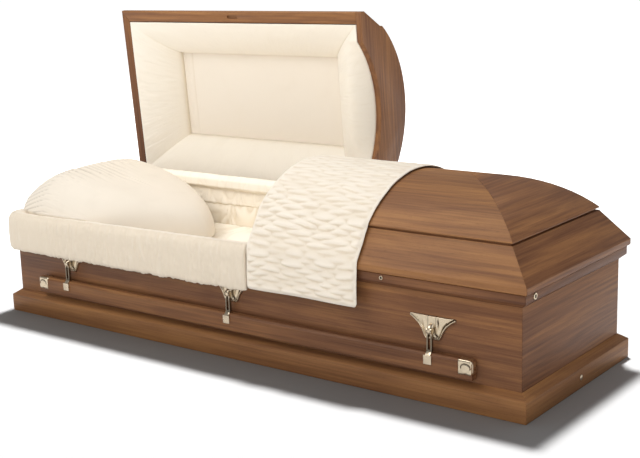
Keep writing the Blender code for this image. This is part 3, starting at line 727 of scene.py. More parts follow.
@dataclass
class Hinge:
    """The line that both lids turn about, and how far open the head lid is stored."""

    place: Array = field(default_factory=lambda: np.array(joint("head_lid_hinge")["pos_m"], float))
    opening: float = field(default_factory=lambda: math.radians(joint("head_lid_hinge")["range_deg"][1]))

    def turn(self, points: Array, angle: float) -> Array:
        """Turn points about the hinge line.

        Args:
            points: any array whose last axis is x, y, z.
            angle: radians about +X.

        Returns:
            The turned points.
        """
        c, s = math.cos(angle), math.sin(angle)
        out = np.array(points, float)
        y = out[..., 1] - self.place[1]
        z = out[..., 2] - self.place[2]
        out[..., 1] = self.place[1] + c * y - s * z
        out[..., 2] = self.place[2] + s * y + c * z
        return out

    def lift(self, points: Array, side: Side) -> Array:
        """Take points of a shut lid to where the lid is stored."""
        return self.turn(points, -self.opening) if side is Side.HEAD else np.array(points, float)


HINGE = Hinge()


# Wood
@dataclass
class Joinery:
    """The boards: copies of the CAD boards with eased edges, each with its own stretch of grain."""

    finishes: Finishes
    ease: float = 0.0012
    # Each board's tone is partly its own and partly painted light and shade: the rim darker for the shade
    # under the nosing, the foot end's base lighter for light from the floor, the lid's slopes and crown
    # lighter than its ends.
    tones_and_painted_light: tuple[tuple[str, float], ...] = (
        ("head_lid_ogee_end", -0.10), ("head_lid_ogee_front", 0.18), ("lid_ogee_front", 0.29),
        ("lid_ogee_back", 0.29), ("lid_crown_end", 0.08), ("lid_crown", 0.26), ("lid_header", 0.10),
        ("rim_", -0.17), ("base_moulding_foot", 0.46), ("base_", 0.26), ("_bar", 0.03), ("wall_foot", 0.0),
        ("wall_", 0.03),
    )

    def board(self, node: str, body: str, lay: Lay, shut: bool = True) -> bpy.types.Object:
        """Ease one board and lay its grain.

        Args:
            node: the CAD board.
            body: its body.
            lay: which way the grain runs when the lid is shut.
            shut: False for a board of the raised lid, whose grain is laid before it is raised.

        Returns:
            The new piece.
        """
        piece = rounded_copy(node, f"{node}_eased", self.ease, 2, 25)
        mesh = piece.data
        points = np.empty(len(mesh.vertices) * 3, np.float32)
        mesh.vertices.foreach_get("co", points)
        points = points.reshape(-1, 3).astype(float)
        if not shut:
            points = HINGE.turn(points, HINGE.opening)
        grain = points[:, list(lay.value)]
        start = sum(ord(c) * (k + 3) for k, c in enumerate(node))
        grain = grain + np.array([start * 0.37 % 7, start * 0.53 % 5, start * 0.71 % 3])
        place = mesh.attributes.new("grain", "FLOAT_VECTOR", "POINT")
        place.data.foreach_set("vector", grain.astype(np.float32).ravel())
        tone = next((value for part, value in self.tones_and_painted_light if part in node), 0.02)
        shade = mesh.attributes.new("board", "FLOAT", "POINT")
        shade.data.foreach_set("value", np.full(len(points), tone, np.float32))
        return dress(piece, self.finishes.wood, body, "walnut", node)

    def build(self) -> None:
        """Ease every board of the box, the lids and the handles."""
        for part in ("base_moulding", "wall", "rim_moulding"):
            for side in ("front", "back"):
                self.board(f"{part}_{side}", "shell", Lay.LONG)
            for side in ("head", "foot"):
                self.board(f"{part}_{side}", "shell", Lay.WIDE)
        self.board("bottom_board", "shell", Lay.LONG)
        for lid in ("head_lid", "foot_lid"):
            shut = lid == "foot_lid"
            for part in ("ogee_front", "ogee_back", "crown"):
                self.board(f"{lid}_{part}", lid, Lay.LONG, shut)
            for part in ("ogee_end", "crown_end", "header"):
                self.board(f"{lid}_{part}", lid, Lay.WIDE, shut)
        for side in ("front", "back"):
            self.board(f"{side}_bar", f"{side}_handle", Lay.LONG)


# Metal
@dataclass
class Fittings:
    """Ears, arms, caps, hinge leaves, lock rings and the dark holes in them."""

    finishes: Finishes
    ease: float = 0.0011
    plate: float = 0.0030
    band: float = 0.0028
    band_in: float = 0.0045
    rise: float = 0.0045
    ridge_half: float = 0.0052
    barrel_half: float = 0.0130
    barrel: float = 0.0075
    ear_grid: tuple[int, int] = (58, 133)
    pin_down: float = 0.0395
    lug_half: float = 0.021
    slot_at: float = 0.0185
    slot_deep: float = 0.0045
    groove_deep: float = 0.0022
    squareness: float = 6.0
    core: float = 0.0015
    rings: tuple[tuple[str, float], ...] = (
        ("foot_end_lock", 0.0006), ("front_catch", 0.0005), ("base_cap", 0.0004),
    )
    holes: tuple[tuple[str, float, int], ...] = (("foot_end_lock", 0.0056, 0), ("front_catch", 0.0037, 1))

    def cast(self, node: str, body: str, width: float, finish: bpy.types.Material) -> bpy.types.Object:
        """A rounded copy of a CAD casting.

        Args:
            node: the CAD casting.
            body: its body.
            width: how far its edges are rounded.
            finish: its brass.

        Returns:
            The new piece.
        """
        return dress(rounded_copy(node, f"{node}_cast", width, 3, 28), finish, body, "brass", node)

    def ear(self, node: str) -> bpy.types.Object:
        """A winged ear in relief.

        The outline, a drop for each share of the half width, is the CAD ear's. Over it stands a plate, a
        wing that swells towards the middle, a rolled band along the lower edge with a groove above it, a
        barrel down the middle, sqrt(1 - x^2) in section, and on that the narrow lug for the pin. The groove
        and the slot beside the barrel are deep on the ear's right, seen from outside, and faint on its left.

        Args:
            node: the CAD ear.

        Returns:
            The new piece.
        """
        low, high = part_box(node)
        out = -1.0 if low.y < 0 else 1.0
        wall = min(abs(low.y), abs(high.y))
        reach = max(abs(low.y), abs(high.y)) - wall
        middle = (low.x + high.x) / 2
        half = (high.x - low.x) / 2
        top = high.z
        drop = high.z - low.z
        rows, columns = self.ear_grid
        across = np.linspace(-1, 1, columns)
        share = np.linspace(0, 1, rows)
        edge_at = np.array([0.0, 0.17, 0.29, 0.39, 0.47, 0.61, 0.80, 1.0])
        edge_down = np.array([0.960, 0.965, 0.990, 0.860, 0.660, 0.430, 0.255, 0.117])
        down = np.interp(np.abs(across), edge_at, edge_down) * drop
        down = np.convolve(np.pad(down, 5, mode="edge"), np.hanning(13)[1:-1] / 6.0, "valid")
        x = across[None, :] * half + 0 * share[:, None]
        depth = share[:, None] * down[None, :]
        slope = np.gradient(down, across * half)
        from_edge = (down[None, :] - depth) / np.sqrt(1 + slope**2)[None, :]
        from_end = half - np.abs(x)
        wing = smooth_step(np.abs(x), self.barrel_half, self.barrel_half + 0.006)
        swell = self.rise * (1 - np.abs(across[None, :])) ** 0.8 * smooth_step(from_edge, 0.006, 0.022)
        roll = self.band * np.exp(-(((from_edge - self.band_in) / 0.0021) ** 4)) * wing
        right = smooth_step(-out * across, -0.10, 0.10)[None, :]
        groove = np.exp(-(((from_edge - self.band_in - 0.0042) / 0.0016) ** 2)) * wing * (0.2 + 0.8 * right)
        round_in = smooth_step(np.minimum(np.minimum(from_edge, depth), from_end), -0.0006, 0.0022)
        barrel = self.barrel * np.clip(1 - (x / self.barrel_half) ** 2, 0, 1) ** 0.5
        barrel = barrel * smooth_step(depth, 0.001, 0.012) * smooth_step(from_edge, 0.0, 0.010)
        pin = top - self.pin_down
        z = top - depth
        lug = reach * np.clip(1 - ((z - pin) / self.lug_half) ** 2, 0, 1) ** 0.5
        lug = lug * (1 - smooth_step(np.abs(x), self.ridge_half - 0.0016, self.ridge_half - 0.0004))
        slots = np.exp(-(((np.abs(x) - self.slot_at) / 0.0028) ** 2) - ((depth - 0.017) / 0.010) ** 2)
        slots = slots * (0.3 + 0.7 * right)
        cuts = self.groove_deep * groove + self.slot_deep * slots
        relief = np.maximum(self.plate + swell + roll - cuts, 0.0006) * round_in
        relief = np.maximum(np.maximum(relief, barrel * round_in), lug)
        seam = np.exp(-(((np.abs(x) - self.barrel_half) / 0.0014) ** 2)) * (lug < 0.001)
        # Patina in the groove and slots, with painted shade beside the barrel and round the plate's edge.
        fold = 1 - np.clip(groove + slots + 0.7 * seam + 0.8 * (1 - round_in), 0, 1)
        front = grid(middle + x, out * (wall + relief), z)
        flat = grid(middle + x, out * wall, z)
        points = np.concatenate([front, flat[-1:], flat[:1]])
        fold = np.concatenate([fold, np.zeros((2, len(across)))])
        piece = surface(f"{node}_relief", points, fold=fold, wrap_rows=True, caps=True, flip=out > 0)
        return dress(piece, self.finishes.chased, "shell", "brass", node)

    def cap(self, node: str, bar: str, body: str) -> bpy.types.Object:
        """A bar's end cap: a rounded shell over the upper part of the bar's end, its lower edge in two lobes.

        Rows run along the cap and shrink to a point at its end as (1 - a^10)^0.28 at a share a of the length.
        Columns go round a section that is a superellipse. A groove in an arch is cut in the face that shows.

        Args:
            node: the CAD cap.
            bar: the CAD bar.
            body: the handle.

        Returns:
            The new piece.
        """
        low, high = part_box(node)
        end = 1.0 if high.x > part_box(bar)[1].x - 0.001 else -1.0
        out = -1.0 if low.y < 0 else 1.0
        length = high.x - low.x
        turns = np.linspace(0, 2 * np.pi, 72, endpoint=False)[None, :]
        along = np.sin(np.linspace(0, np.pi / 2, 30))[:, None]
        shrink = np.clip(1 - along**10, 0, 1) ** 0.28
        deep = (high.y - low.y) / 2
        lobes = np.abs(np.cos(np.pi * np.clip(along * 1.02, 0, 1))) ** 0.6
        tall = (high.z - low.z) * (0.72 + 0.06 * lobes) / 2
        n = self.squareness
        c, s = np.cos(turns), np.sin(turns)
        ring = (np.abs(c) ** n + np.abs(s) ** n) ** (-1 / n)
        x = (low.x if end > 0 else high.x) + end * along * length + 0 * turns
        y = (low.y + high.y) / 2 + out * deep * ring * c * shrink
        z = high.z - tall + tall * ring * s * shrink
        facing = smooth_step(c, 0.5, 0.8)
        arch = np.hypot((along - 0.5) * length / 0.0150, (z - high.z + 0.0235) / 0.0120)
        cut = np.exp(-(((arch - 1) / 0.16) ** 2)) * smooth_step(z - high.z, -0.030, -0.024) * facing
        y = y - out * 0.0016 * cut
        fold = 1 - cut
        points = grid(x, y, z)
        flip = (end > 0) != (out > 0)
        piece = surface(f"{node}_lobed", points, fold=fold, wrap_columns=True, caps=True, flip=flip)
        mend(piece.data, merge=False, outward=True)
        return dress(piece, self.finishes.chased, body, "brass", node)

    def core_disc(self, node: str, radius: float, axis: int) -> bpy.types.Object:
        """A near-black dished disc behind a lock ring's hole, standing in for the shade inside it.

        Args:
            node: the CAD ring.
            radius: the hole's radius.
            axis: 0 for a ring that faces along X, 1 along Y.

        Returns:
            The new piece.
        """
        low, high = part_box(node)
        middle = (low + high) / 2
        turns = np.linspace(0, 2 * np.pi, 24, endpoint=False)
        reach = np.array([0.0003, 0.5, 1.0, 1.0])[:, None] * radius
        rise = np.array([0.35, 0.4, 0.6, 0.0])[:, None] * self.core
        a = reach * np.cos(turns)
        b = reach * np.sin(turns)
        h = rise + 0 * turns
        if axis == 0:
            points = grid(low.x - 0.0002 + h, middle.y + a, middle.z + b)
        else:
            points = grid(middle.x + a, high.y + 0.0002 - h, middle.z + b)
        piece = surface(f"{node}_core", points, wrap_columns=True, caps=True, flip=axis == 0)
        return dress(piece, self.finishes.dark, "shell", "brass")

    def build(self) -> None:
        """Make every fitting."""
        for side in ("front", "back"):
            body = f"{side}_handle"
            for spot in ("head", "middle", "foot"):
                self.ear(f"{side}_ear_{spot}")
                # The arms take the brass with painted shade between pin and clip.
                self.cast(f"{side}_arm_{spot}", body, self.ease, self.finishes.wear_and_shade)
            for spot in ("head", "foot"):
                self.cap(f"{side}_bar_cap_{spot}", f"{side}_bar", body)
        for node, width in self.rings:
            self.cast(node, "shell", width, self.finishes.brass)
        for node, radius, axis in self.holes:
            self.core_disc(node, radius, axis)
        for lid in ("head_lid", "foot_lid"):
            for leaf, body in (("box_leaf", "shell"), ("hinge_leaf", lid)):
                node = frame["nodes"][f"{lid}_{leaf}"]
                node.data.materials.clear()
                node.data.materials.append(self.finishes.brass)


# Cloth
@dataclass
class Lining:
    """A lid's lining: a puffed border that falls from the rails to a flat panel, gathered across."""

    finishes: Finishes
    side: Side
    spacing: float = 0.0041
    panel_spacing: float = 0.0065
    rows: int = 40
    rail_gap: float = 0.0025
    border_side: float = 0.131
    border_end: float = 0.160
    panel_rise: float = 0.1115
    arch_half: float = 0.238
    arch_rise: float = 0.086
    gather: float = 0.0016
    gather_wide: float = 0.0085
    swell: float = 0.0022
    crown: float = 0.007
    ripple: float = 0.0011
    pleat: float = 0.0028
    pleats: tuple[float, ...] = (0.022, 0.052)
    thickness: float = 0.0030

    def __post_init__(self) -> None:
        """Read the lid's inside from the frame, shut."""
        self.lid = "head_lid" if self.side is Side.HEAD else "foot_lid"
        self.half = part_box("foot_lid_lining_border")[1].y + 0.001 - self.rail_gap
        self.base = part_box("foot_lid_ogee_front")[0].z
        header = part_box(f"{self.lid}_header")
        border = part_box(f"{self.lid}_lining_border")
        if self.side is Side.HEAD:
            self.near = -header[0].x
            self.far = -border[0].x
        else:
            self.near = header[1].x
            self.far = border[1].x
        self.near += 0.0015
        self.panel_z = self.base + self.panel_rise

    def arch(self, y: Array) -> Array:
        """Height of the header's arch above the lid's underside: a circle through its foot and its crown.

        Args:
            y: places across the lid.

        Returns:
            The arch's height at each, 0 beyond its foot.
        """
        radius = (self.arch_half**2 + self.arch_rise**2) / (2 * self.arch_rise)
        inside = np.sqrt(np.clip(radius**2 - np.asarray(y) ** 2, 0, None)) - radius + self.arch_rise
        return np.where(np.abs(y) < self.arch_half, np.clip(inside, 0, None), 0.0)

    def border(self) -> bpy.types.Object:
        """The border.

        A place on it is a distance p round the rectangle and a share t from the rails to the panel. It falls
        by 0.6 t^1.3 + 0.4 (1 - sqrt(1 - t^2.4)) of the panel's depth, so it stands proud as a roll and dives
        at the panel, and at the header it starts from the arch instead of from a rail.

        Returns:
            The piece.
        """
        length, width = self.far - self.near, 2 * self.half
        turn = 2 * (length + width)
        count = int(turn / self.spacing)
        p = np.linspace(0, turn, count, endpoint=False)
        t = np.linspace(0, 1, self.rows)[:, None]
        corners = np.array([0, width, width + length, 2 * width + length, turn])
        u0 = np.interp(p, corners, [0, 0, 1, 1, 0])
        v0 = np.interp(p, corners, [-1, 1, 1, -1, -1])
        u = self.near + t * self.border_end + u0 * (length - 2 * t * self.border_end)
        y = v0 * (self.half - t * self.border_side)
        at_header = (p < width).astype(float)
        at_end = ((p < width) | ((p > width + length) & (p < 2 * width + length))).astype(float)
        corner = np.min(np.abs(p[None, :] - corners[:, None]), 0)
        fall = 0.6 * t**1.3 + 0.4 * (1 - np.sqrt(1 - np.clip(t, 0, 1) ** 2.4))
        z = self.base + 0.003 + (self.panel_z - self.base - 0.003) * fall
        lift = self.arch(y) * at_header * np.clip(1 - t / 0.42, 0, 1) ** 1.6
        z = z + lift
        tight = smooth_step(t, 0.0, 0.10) * (1 - smooth_step(t, 0.86, 1.0))
        strength = self.gather * (0.30 + 0.60 * at_end) * smooth_step(corner, 0.004, 0.05)
        wave = crest(drift(p / self.gather_wide + 1.4 * drift(p / 0.05, t * 2, 3), t * 2.2, 11))
        wave = 0.7 * wave + 0.3 * crest(drift(p / (2 * self.gather_wide), t * 3.0, 17))
        soft = self.swell * rumple(p / 0.14, t * 1.6, 23)
        z = z - (strength * wave + soft) * tight
        sign = self.side.value
        points = grid(sign * u, y, z)
        run = np.broadcast_to(t * math.hypot(self.border_side, self.panel_rise), z.shape)
        uv = grid(p, run)
        # Painted shade: darker in the gathers, along the corner mitres and where the border dives to the
        # panel.
        fold = 0.72 + (0.14 + 0.10 * at_end) * wave * tight
        crease = np.exp(-corner / 0.006) * smooth_step(t, 0.1, 0.5)
        fold = (fold - 0.4 * crease) * (1 - 0.45 * smooth_step(t, 0.93, 1.0))
        name = f"{self.lid}_lining_roll"
        piece = surface(name, HINGE.lift(points, self.side), uv, fold, wrap_columns=True, flip=sign > 0)
        thicken(piece, self.thickness)
        dress(piece, self.finishes.inner, self.lid, "cream_cloth", f"{self.lid}_lining_border")
        return piece

    def panel(self) -> bpy.types.Object:
        """The flat panel: crowned by (1 - a^4) (1 - b^4), with soft ripples and two pleats at its far end.

        Returns:
            The piece.
        """
        x0, x1 = self.near + self.border_end - 0.004, self.far - self.border_end + 0.004
        half = self.half - self.border_side + 0.004
        u = np.linspace(x0, x1, int((x1 - x0) / self.panel_spacing))[None, :]
        y = np.linspace(-half, half, int(2 * half / self.panel_spacing))[:, None]
        crown = self.crown * (1 - ((2 * u - x0 - x1) / (x1 - x0)) ** 4) * (1 - (y / half) ** 4)
        ripple = self.ripple * rumple(u / 0.045, y / 0.40, 31)
        pleat = sum(self.pleat * np.exp(-(((x1 - u - at) / 0.006) ** 2)) for at in self.pleats)
        z = self.panel_z + 0.0005 - crown - ripple + pleat
        points = grid(self.side.value * u, y, z)
        uv = grid(u, y)
        # Painted shade in the ripples and pleats.
        fold = np.clip(0.85 + 220 * ripple - 120 * pleat + 0 * y, 0, 1)
        name = f"{self.lid}_lining_middle"
        piece = surface(name, HINGE.lift(points, self.side), uv, fold, flip=self.side is Side.FOOT)
        thicken(piece, self.thickness)
        dress(piece, self.finishes.crepe, self.lid, "cream_cloth", f"{self.lid}_lining_panel")
        return piece

    def build(self) -> None:
        """Both pieces."""
        self.border()
        self.panel()


@dataclass
class Throw:
    """The quilted cloth over the foot lid: a sheet puckered in staggered short rows."""

    finishes: Finishes
    spacing: float = 0.0033
    offset: float = 0.0050
    column: float = 0.090
    row: float = 0.0310
    pucker: float = 0.0135
    steep: float = 0.75
    border: float = 0.008
    corner: float = 0.010
    thickness: float = 0.0022
    wander: float = 0.26
    calm_tops: float = 0.72
    hem_roll: float = 0.0016
    fine: float = 0.0007
    sway: float = 0.0030

    def puffs(self, across: Array, down: Array, seed: float) -> Array:
        """Lens-shaped puffs, one at each whole place: |cos(pi a)|^0.45 |cos(pi b)|^1.4 of varied size.

        The place b is first skewed by -k cos(2 pi b) / (2 pi), so that the side towards the front is steeper.

        Args:
            across: place in columns.
            down: place in rows, from the back hem to the front.
            seed: picks the sizes.

        Returns:
            Their height, 0 to 1.
        """
        size = 0.66 + 0.34 * lattice(np.round(across), np.round(down), seed)
        skewed = down - self.steep * np.cos(2 * np.pi * down) / (2 * np.pi)
        return size * np.abs(np.cos(np.pi * across)) ** 0.45 * np.abs(np.cos(np.pi * skewed)) ** 1.4

    def route(self, nose_top: float) -> Array:
        """The path across the lid that the sheet follows.

        It runs from the back hem up the slope, over the crown's arc, which is a circle through both lips and
        the top, down the front slope and straight down to the front hem.

        Args:
            nose_top: the height at which the front starts to hang.

        Returns:
            Its corners, as rows of (y, z).
        """
        crown_low, crown_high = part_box("foot_lid_crown")
        low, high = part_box("throw")
        lip_y, lip_z = crown_high.y, crown_low.z + 0.004
        rise = crown_high.z - lip_z
        radius = (lip_y**2 + rise**2) / (2 * rise)
        centre = crown_high.z - radius
        start = math.asin((lip_z - centre) / radius)
        turn = np.linspace(start, math.pi - start, 80)
        arc = grid(radius * np.cos(turn), centre + radius * np.sin(turn))
        nose = -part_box("foot_lid_ogee_front")[0].y
        back = np.array([[high.y - 0.010, 0.400], [lip_y + 0.002, lip_z - 0.008]])
        front = np.array([
            [-lip_y - 0.002, lip_z - 0.008], [-nose + 0.001, nose_top],
            [-nose, nose_top - 0.010], [-nose, low.z],
        ])
        return np.vstack([back, arc, front])

    def build(self) -> bpy.types.Object:
        """The sheet, carried along its route and lifted off it by its puffs, hems and sway.

        The puffs stand in two sets, half a column and half a row apart, and the higher of the two is taken.

        Returns:
            The piece.
        """
        low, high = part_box("throw")
        nose_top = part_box("foot_lid_hinge_leaf")[1].z + 0.005
        route = self.route(nose_top)
        total = path_lengths(route)[-1]
        rows = int(total / self.spacing)
        path = even_path(route, rows, soften=0.030)
        normal = -path_normals(path)
        along = path_lengths(path)
        width = high.x - low.x
        columns = int(width / self.spacing)
        u = np.linspace(0, width, columns)[None, :]
        v = along[:, None]
        inset = np.clip(self.corner - np.minimum(u, width - u), 0, None)
        cut = self.corner - np.sqrt(np.clip(self.corner**2 - inset**2, 0, None))
        place = v - cut * smooth_step(v, total - 0.09, total)
        across = u / self.column + self.wander * drift(v / 0.04, u / 0.09, 5)
        down = v / self.row + self.wander * drift(u / 0.085, v / 0.075, 9)
        tuft = np.maximum(self.puffs(across, down, 4), self.puffs(across + 0.5, down + 0.5, 8))
        # The lower side of each puff, where painted shade is put.
        under = np.clip(np.roll(tuft, 2, axis=0) - tuft, 0, 1)
        tops = 1 - self.calm_tops * smooth_step(np.broadcast_to(path[:, 1:2], tuft.shape), 0.49, 0.585)
        edge = np.minimum(np.minimum(u, width - u), np.minimum(v, total - v))
        inside = smooth_step(edge, self.border * 0.5, self.border * 1.6)
        roll = self.hem_roll * np.exp(-(((edge - 0.006) / 0.004) ** 2))
        fine = self.fine * rumple(u / 0.020, v / 0.006, 15)
        height = self.pucker * tuft * tops * inside + roll + fine * inside
        hang = smooth_step(-path[:, 1:2], -nose_top, -nose_top + 0.10)
        sway = self.sway * hang * np.sin(u / width * 2 * np.pi * 1.3 + 0.8) + 0.0020 * hang
        lift = self.offset + height + sway
        at = np.clip(place, 0, total)
        y = np.interp(at, along, path[:, 0]) + lift * normal[:, 0:1]
        z = np.interp(at, along, path[:, 1]) + lift * normal[:, 1:2]
        lean = 0.0015 * rumple(u / 0.2, v / 0.05, 33)
        x = low.x + 0.0002 + u * (width - 0.0010) / width + lean * smooth_step(u, 0, 0.02)
        points = grid(x, y, z)
        uv = grid(u, v)
        # Painted shade: darker between the puffs and under each one.
        fold = np.clip(0.16 + 0.8 * tuft - 1.8 * under * tops, 0, 1) * inside + 0.8 * (1 - inside)
        piece = surface("throw_quilted", points, uv, fold)
        thicken(piece, self.thickness)
        dress(piece, self.finishes.crepe, "foot_lid", "cream_cloth", "throw")
        return piece


@dataclass
class Extendover:
    """The roll of lining turned out over the rim, along the front and round the head end."""

    finishes: Finishes
    spacing: float = 0.0028
    around: int = 74
    inset: float = 0.045
    squareness: float = 2.3
    crinkle: float = 0.0034
    mouth: float = 0.0032
    sink_head: float = 0.040
    sink_foot: float = 0.023
    bend: int = 46
    past_end: float = 0.0008
    ridge_wide: float = 0.0085
    ridge_tall: float = 0.060
    fine_wide: float = 0.0075
    fine_tall: float = 0.019
    swell: float = 0.0022
    hem_sag: float = 0.0028
    fold_in: float = 0.084
    fold_under: float = 0.0585

    def section(self, sink: float) -> Array:
        """The roll's section, a closed loop of (out from the wall, height), softened at its corners.

        Args:
            sink: how far its crest lies under the top of the CAD solid.

        Returns:
            The loop, evenly spaced.
        """
        low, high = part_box("extendover")
        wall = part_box("wall_front")
        out = wall[0].y - low.y
        top = high.z - sink
        bottom = low.z
        over = wall[1].z + self.mouth
        inner = -0.030
        points = [
            (out - 0.0165, bottom + 0.002), (out - 0.006, bottom), (out - 0.001, bottom + 0.012),
            (out, bottom + 0.060), (out, top - 0.045), (out - 0.003, top - 0.020), (out - 0.012, top - 0.005),
            (out - 0.022, top), (out - 0.036, top - 0.002), (0.0, top - 0.004), (inner + 0.010, top - 0.007),
            (inner + 0.001, top - 0.018), (inner + 0.002, over - 0.016), (inner + 0.009, over - 0.016),
            (-0.020, over), (0.018, over), (out - 0.0205, over - 0.006), (out - 0.0205, bottom + 0.03),
        ]
        return even_path(np.array(points), self.around, closed=True, soften=0.016)

    def course(self) -> tuple[Array, Array, int]:
        """The line that the section is carried along: the front, the corner's quarter turn, the head end.

        Returns:
            The (x, y) that the section turns about at each step, which way it faces there, in radians from -Y
            to -X, and the number of steps along the front.
        """
        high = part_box("extendover")[1]
        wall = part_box("wall_front")[0]
        pivot = np.array([wall.x + self.inset, wall.y + self.inset])
        front = int((high.x - pivot[0]) / self.spacing)
        head = int((high.y - pivot[1]) / self.spacing)
        reach = np.linspace(0, np.pi / 2, self.bend)
        bases = np.vstack([
            grid(np.linspace(high.x + self.past_end, pivot[0], front, endpoint=False), pivot[1]),
            np.tile(pivot, (self.bend, 1)),
            grid(pivot[0], np.linspace(pivot[1], high.y, head + 1)[1:]),
        ])
        return bases, np.r_[np.zeros(front), reach, np.full(head, np.pi / 2)], front

    def build(self) -> None:
        """The front, the corner and the head end's stretch, alike where they are cut apart.

        The section is carried along the course, and the corner's reach is a superellipse of the given
        squareness. Upright crinkles, ridges between sharp valleys, stand out along its normal.
        """
        low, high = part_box("extendover")
        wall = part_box("wall_front")
        half_y, half_x = -wall[0].y, -wall[0].x
        loop = self.section(self.sink_head)
        rise = self.section(self.sink_foot) - loop
        normal = outward_normals(loop)
        bases, facing, front = self.course()
        direction = -grid(np.sin(facing), np.cos(facing))
        n = self.squareness
        wide = (np.abs(direction[:, 0]) ** n + np.abs(direction[:, 1]) ** n) ** (-1 / n)
        step = np.r_[0, np.linalg.norm(np.diff(bases, axis=0), axis=1)]
        step = step + np.r_[0, np.diff(facing)] * (self.inset + 0.03)
        s = np.cumsum(step)
        w = loop_lengths(loop)
        share = np.clip((bases[:, 0:1] + half_x) / (half_x + high.x), 0, 1)
        out, z = loop[None, :, 0] + share * rise[None, :, 0], loop[None, :, 1] + share * rise[None, :, 1]
        shown = smooth_step(out, -0.028, -0.005) * smooth_step(z, low.z - 0.01, low.z + 0.004)
        outside = smooth_step(out, 0.010, 0.030)
        sc, wc = s[:, None], w[None, :]
        wander = drift(sc / 0.035, wc / 0.05, 2)
        wave = crest(drift(sc / self.ridge_wide + wander, wc / self.ridge_tall + 3, 6))
        small = crest(drift(sc / self.fine_wide, wc / self.fine_tall, 12))
        broad = rumple(sc / 0.055, wc / 0.09, 19)
        calm = 1 - 0.65 * smooth_step(s, front * self.spacing - 0.26, front * self.spacing - 0.06)[:, None]
        ridges = 0.62 * wave + 0.38 * small
        height = (self.crinkle * ridges * (0.35 + 0.65 * outside) * calm + self.swell * broad) * shown
        end = np.minimum(s, s[-1] - s)[:, None]
        height = height - 0.003 * (1 - smooth_step(end, 0.0, 0.008)) * shown
        hem = np.exp(-(((z - low.z) / 0.012) ** 2)) * smooth_step(out, 0.012, 0.03)
        sag = self.hem_sag * rumple(sc / 0.035, 0 * wc, 41) * hem
        far = (out + normal[None, :, 0] * height + self.inset) * wide[:, None]
        x = bases[:, 0:1] + direction[:, 0:1] * far
        y = bases[:, 1:2] + direction[:, 1:2] * far
        up = z + normal[None, :, 1] * height + sag
        points = grid(x, y, up)
        uv = grid(sc, wc)
        # Painted shade: darker in the crinkles and on the outer face.
        fold = np.clip(0.62 + 0.28 * ridges * shown - 0.56 * outside, 0, 1)
        last = front + self.bend - 1
        stretches = (
            ("extendover_front", slice(0, front + 1), (0.0, 0.866, -0.5)),
            ("extendover_corner", slice(front, last + 1), (0.612, 0.612, -0.5)),
            ("extendover_head", slice(last, None), (0.866, 0.0, -0.5)),
        )
        for name, rows, away in stretches:
            piece = surface(name, points[rows], uv[rows], fold[rows], wrap_columns=True, caps=True)
            dress(piece, self.finishes.crepe, "shell", "cream_cloth", "extendover")
            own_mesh(piece)


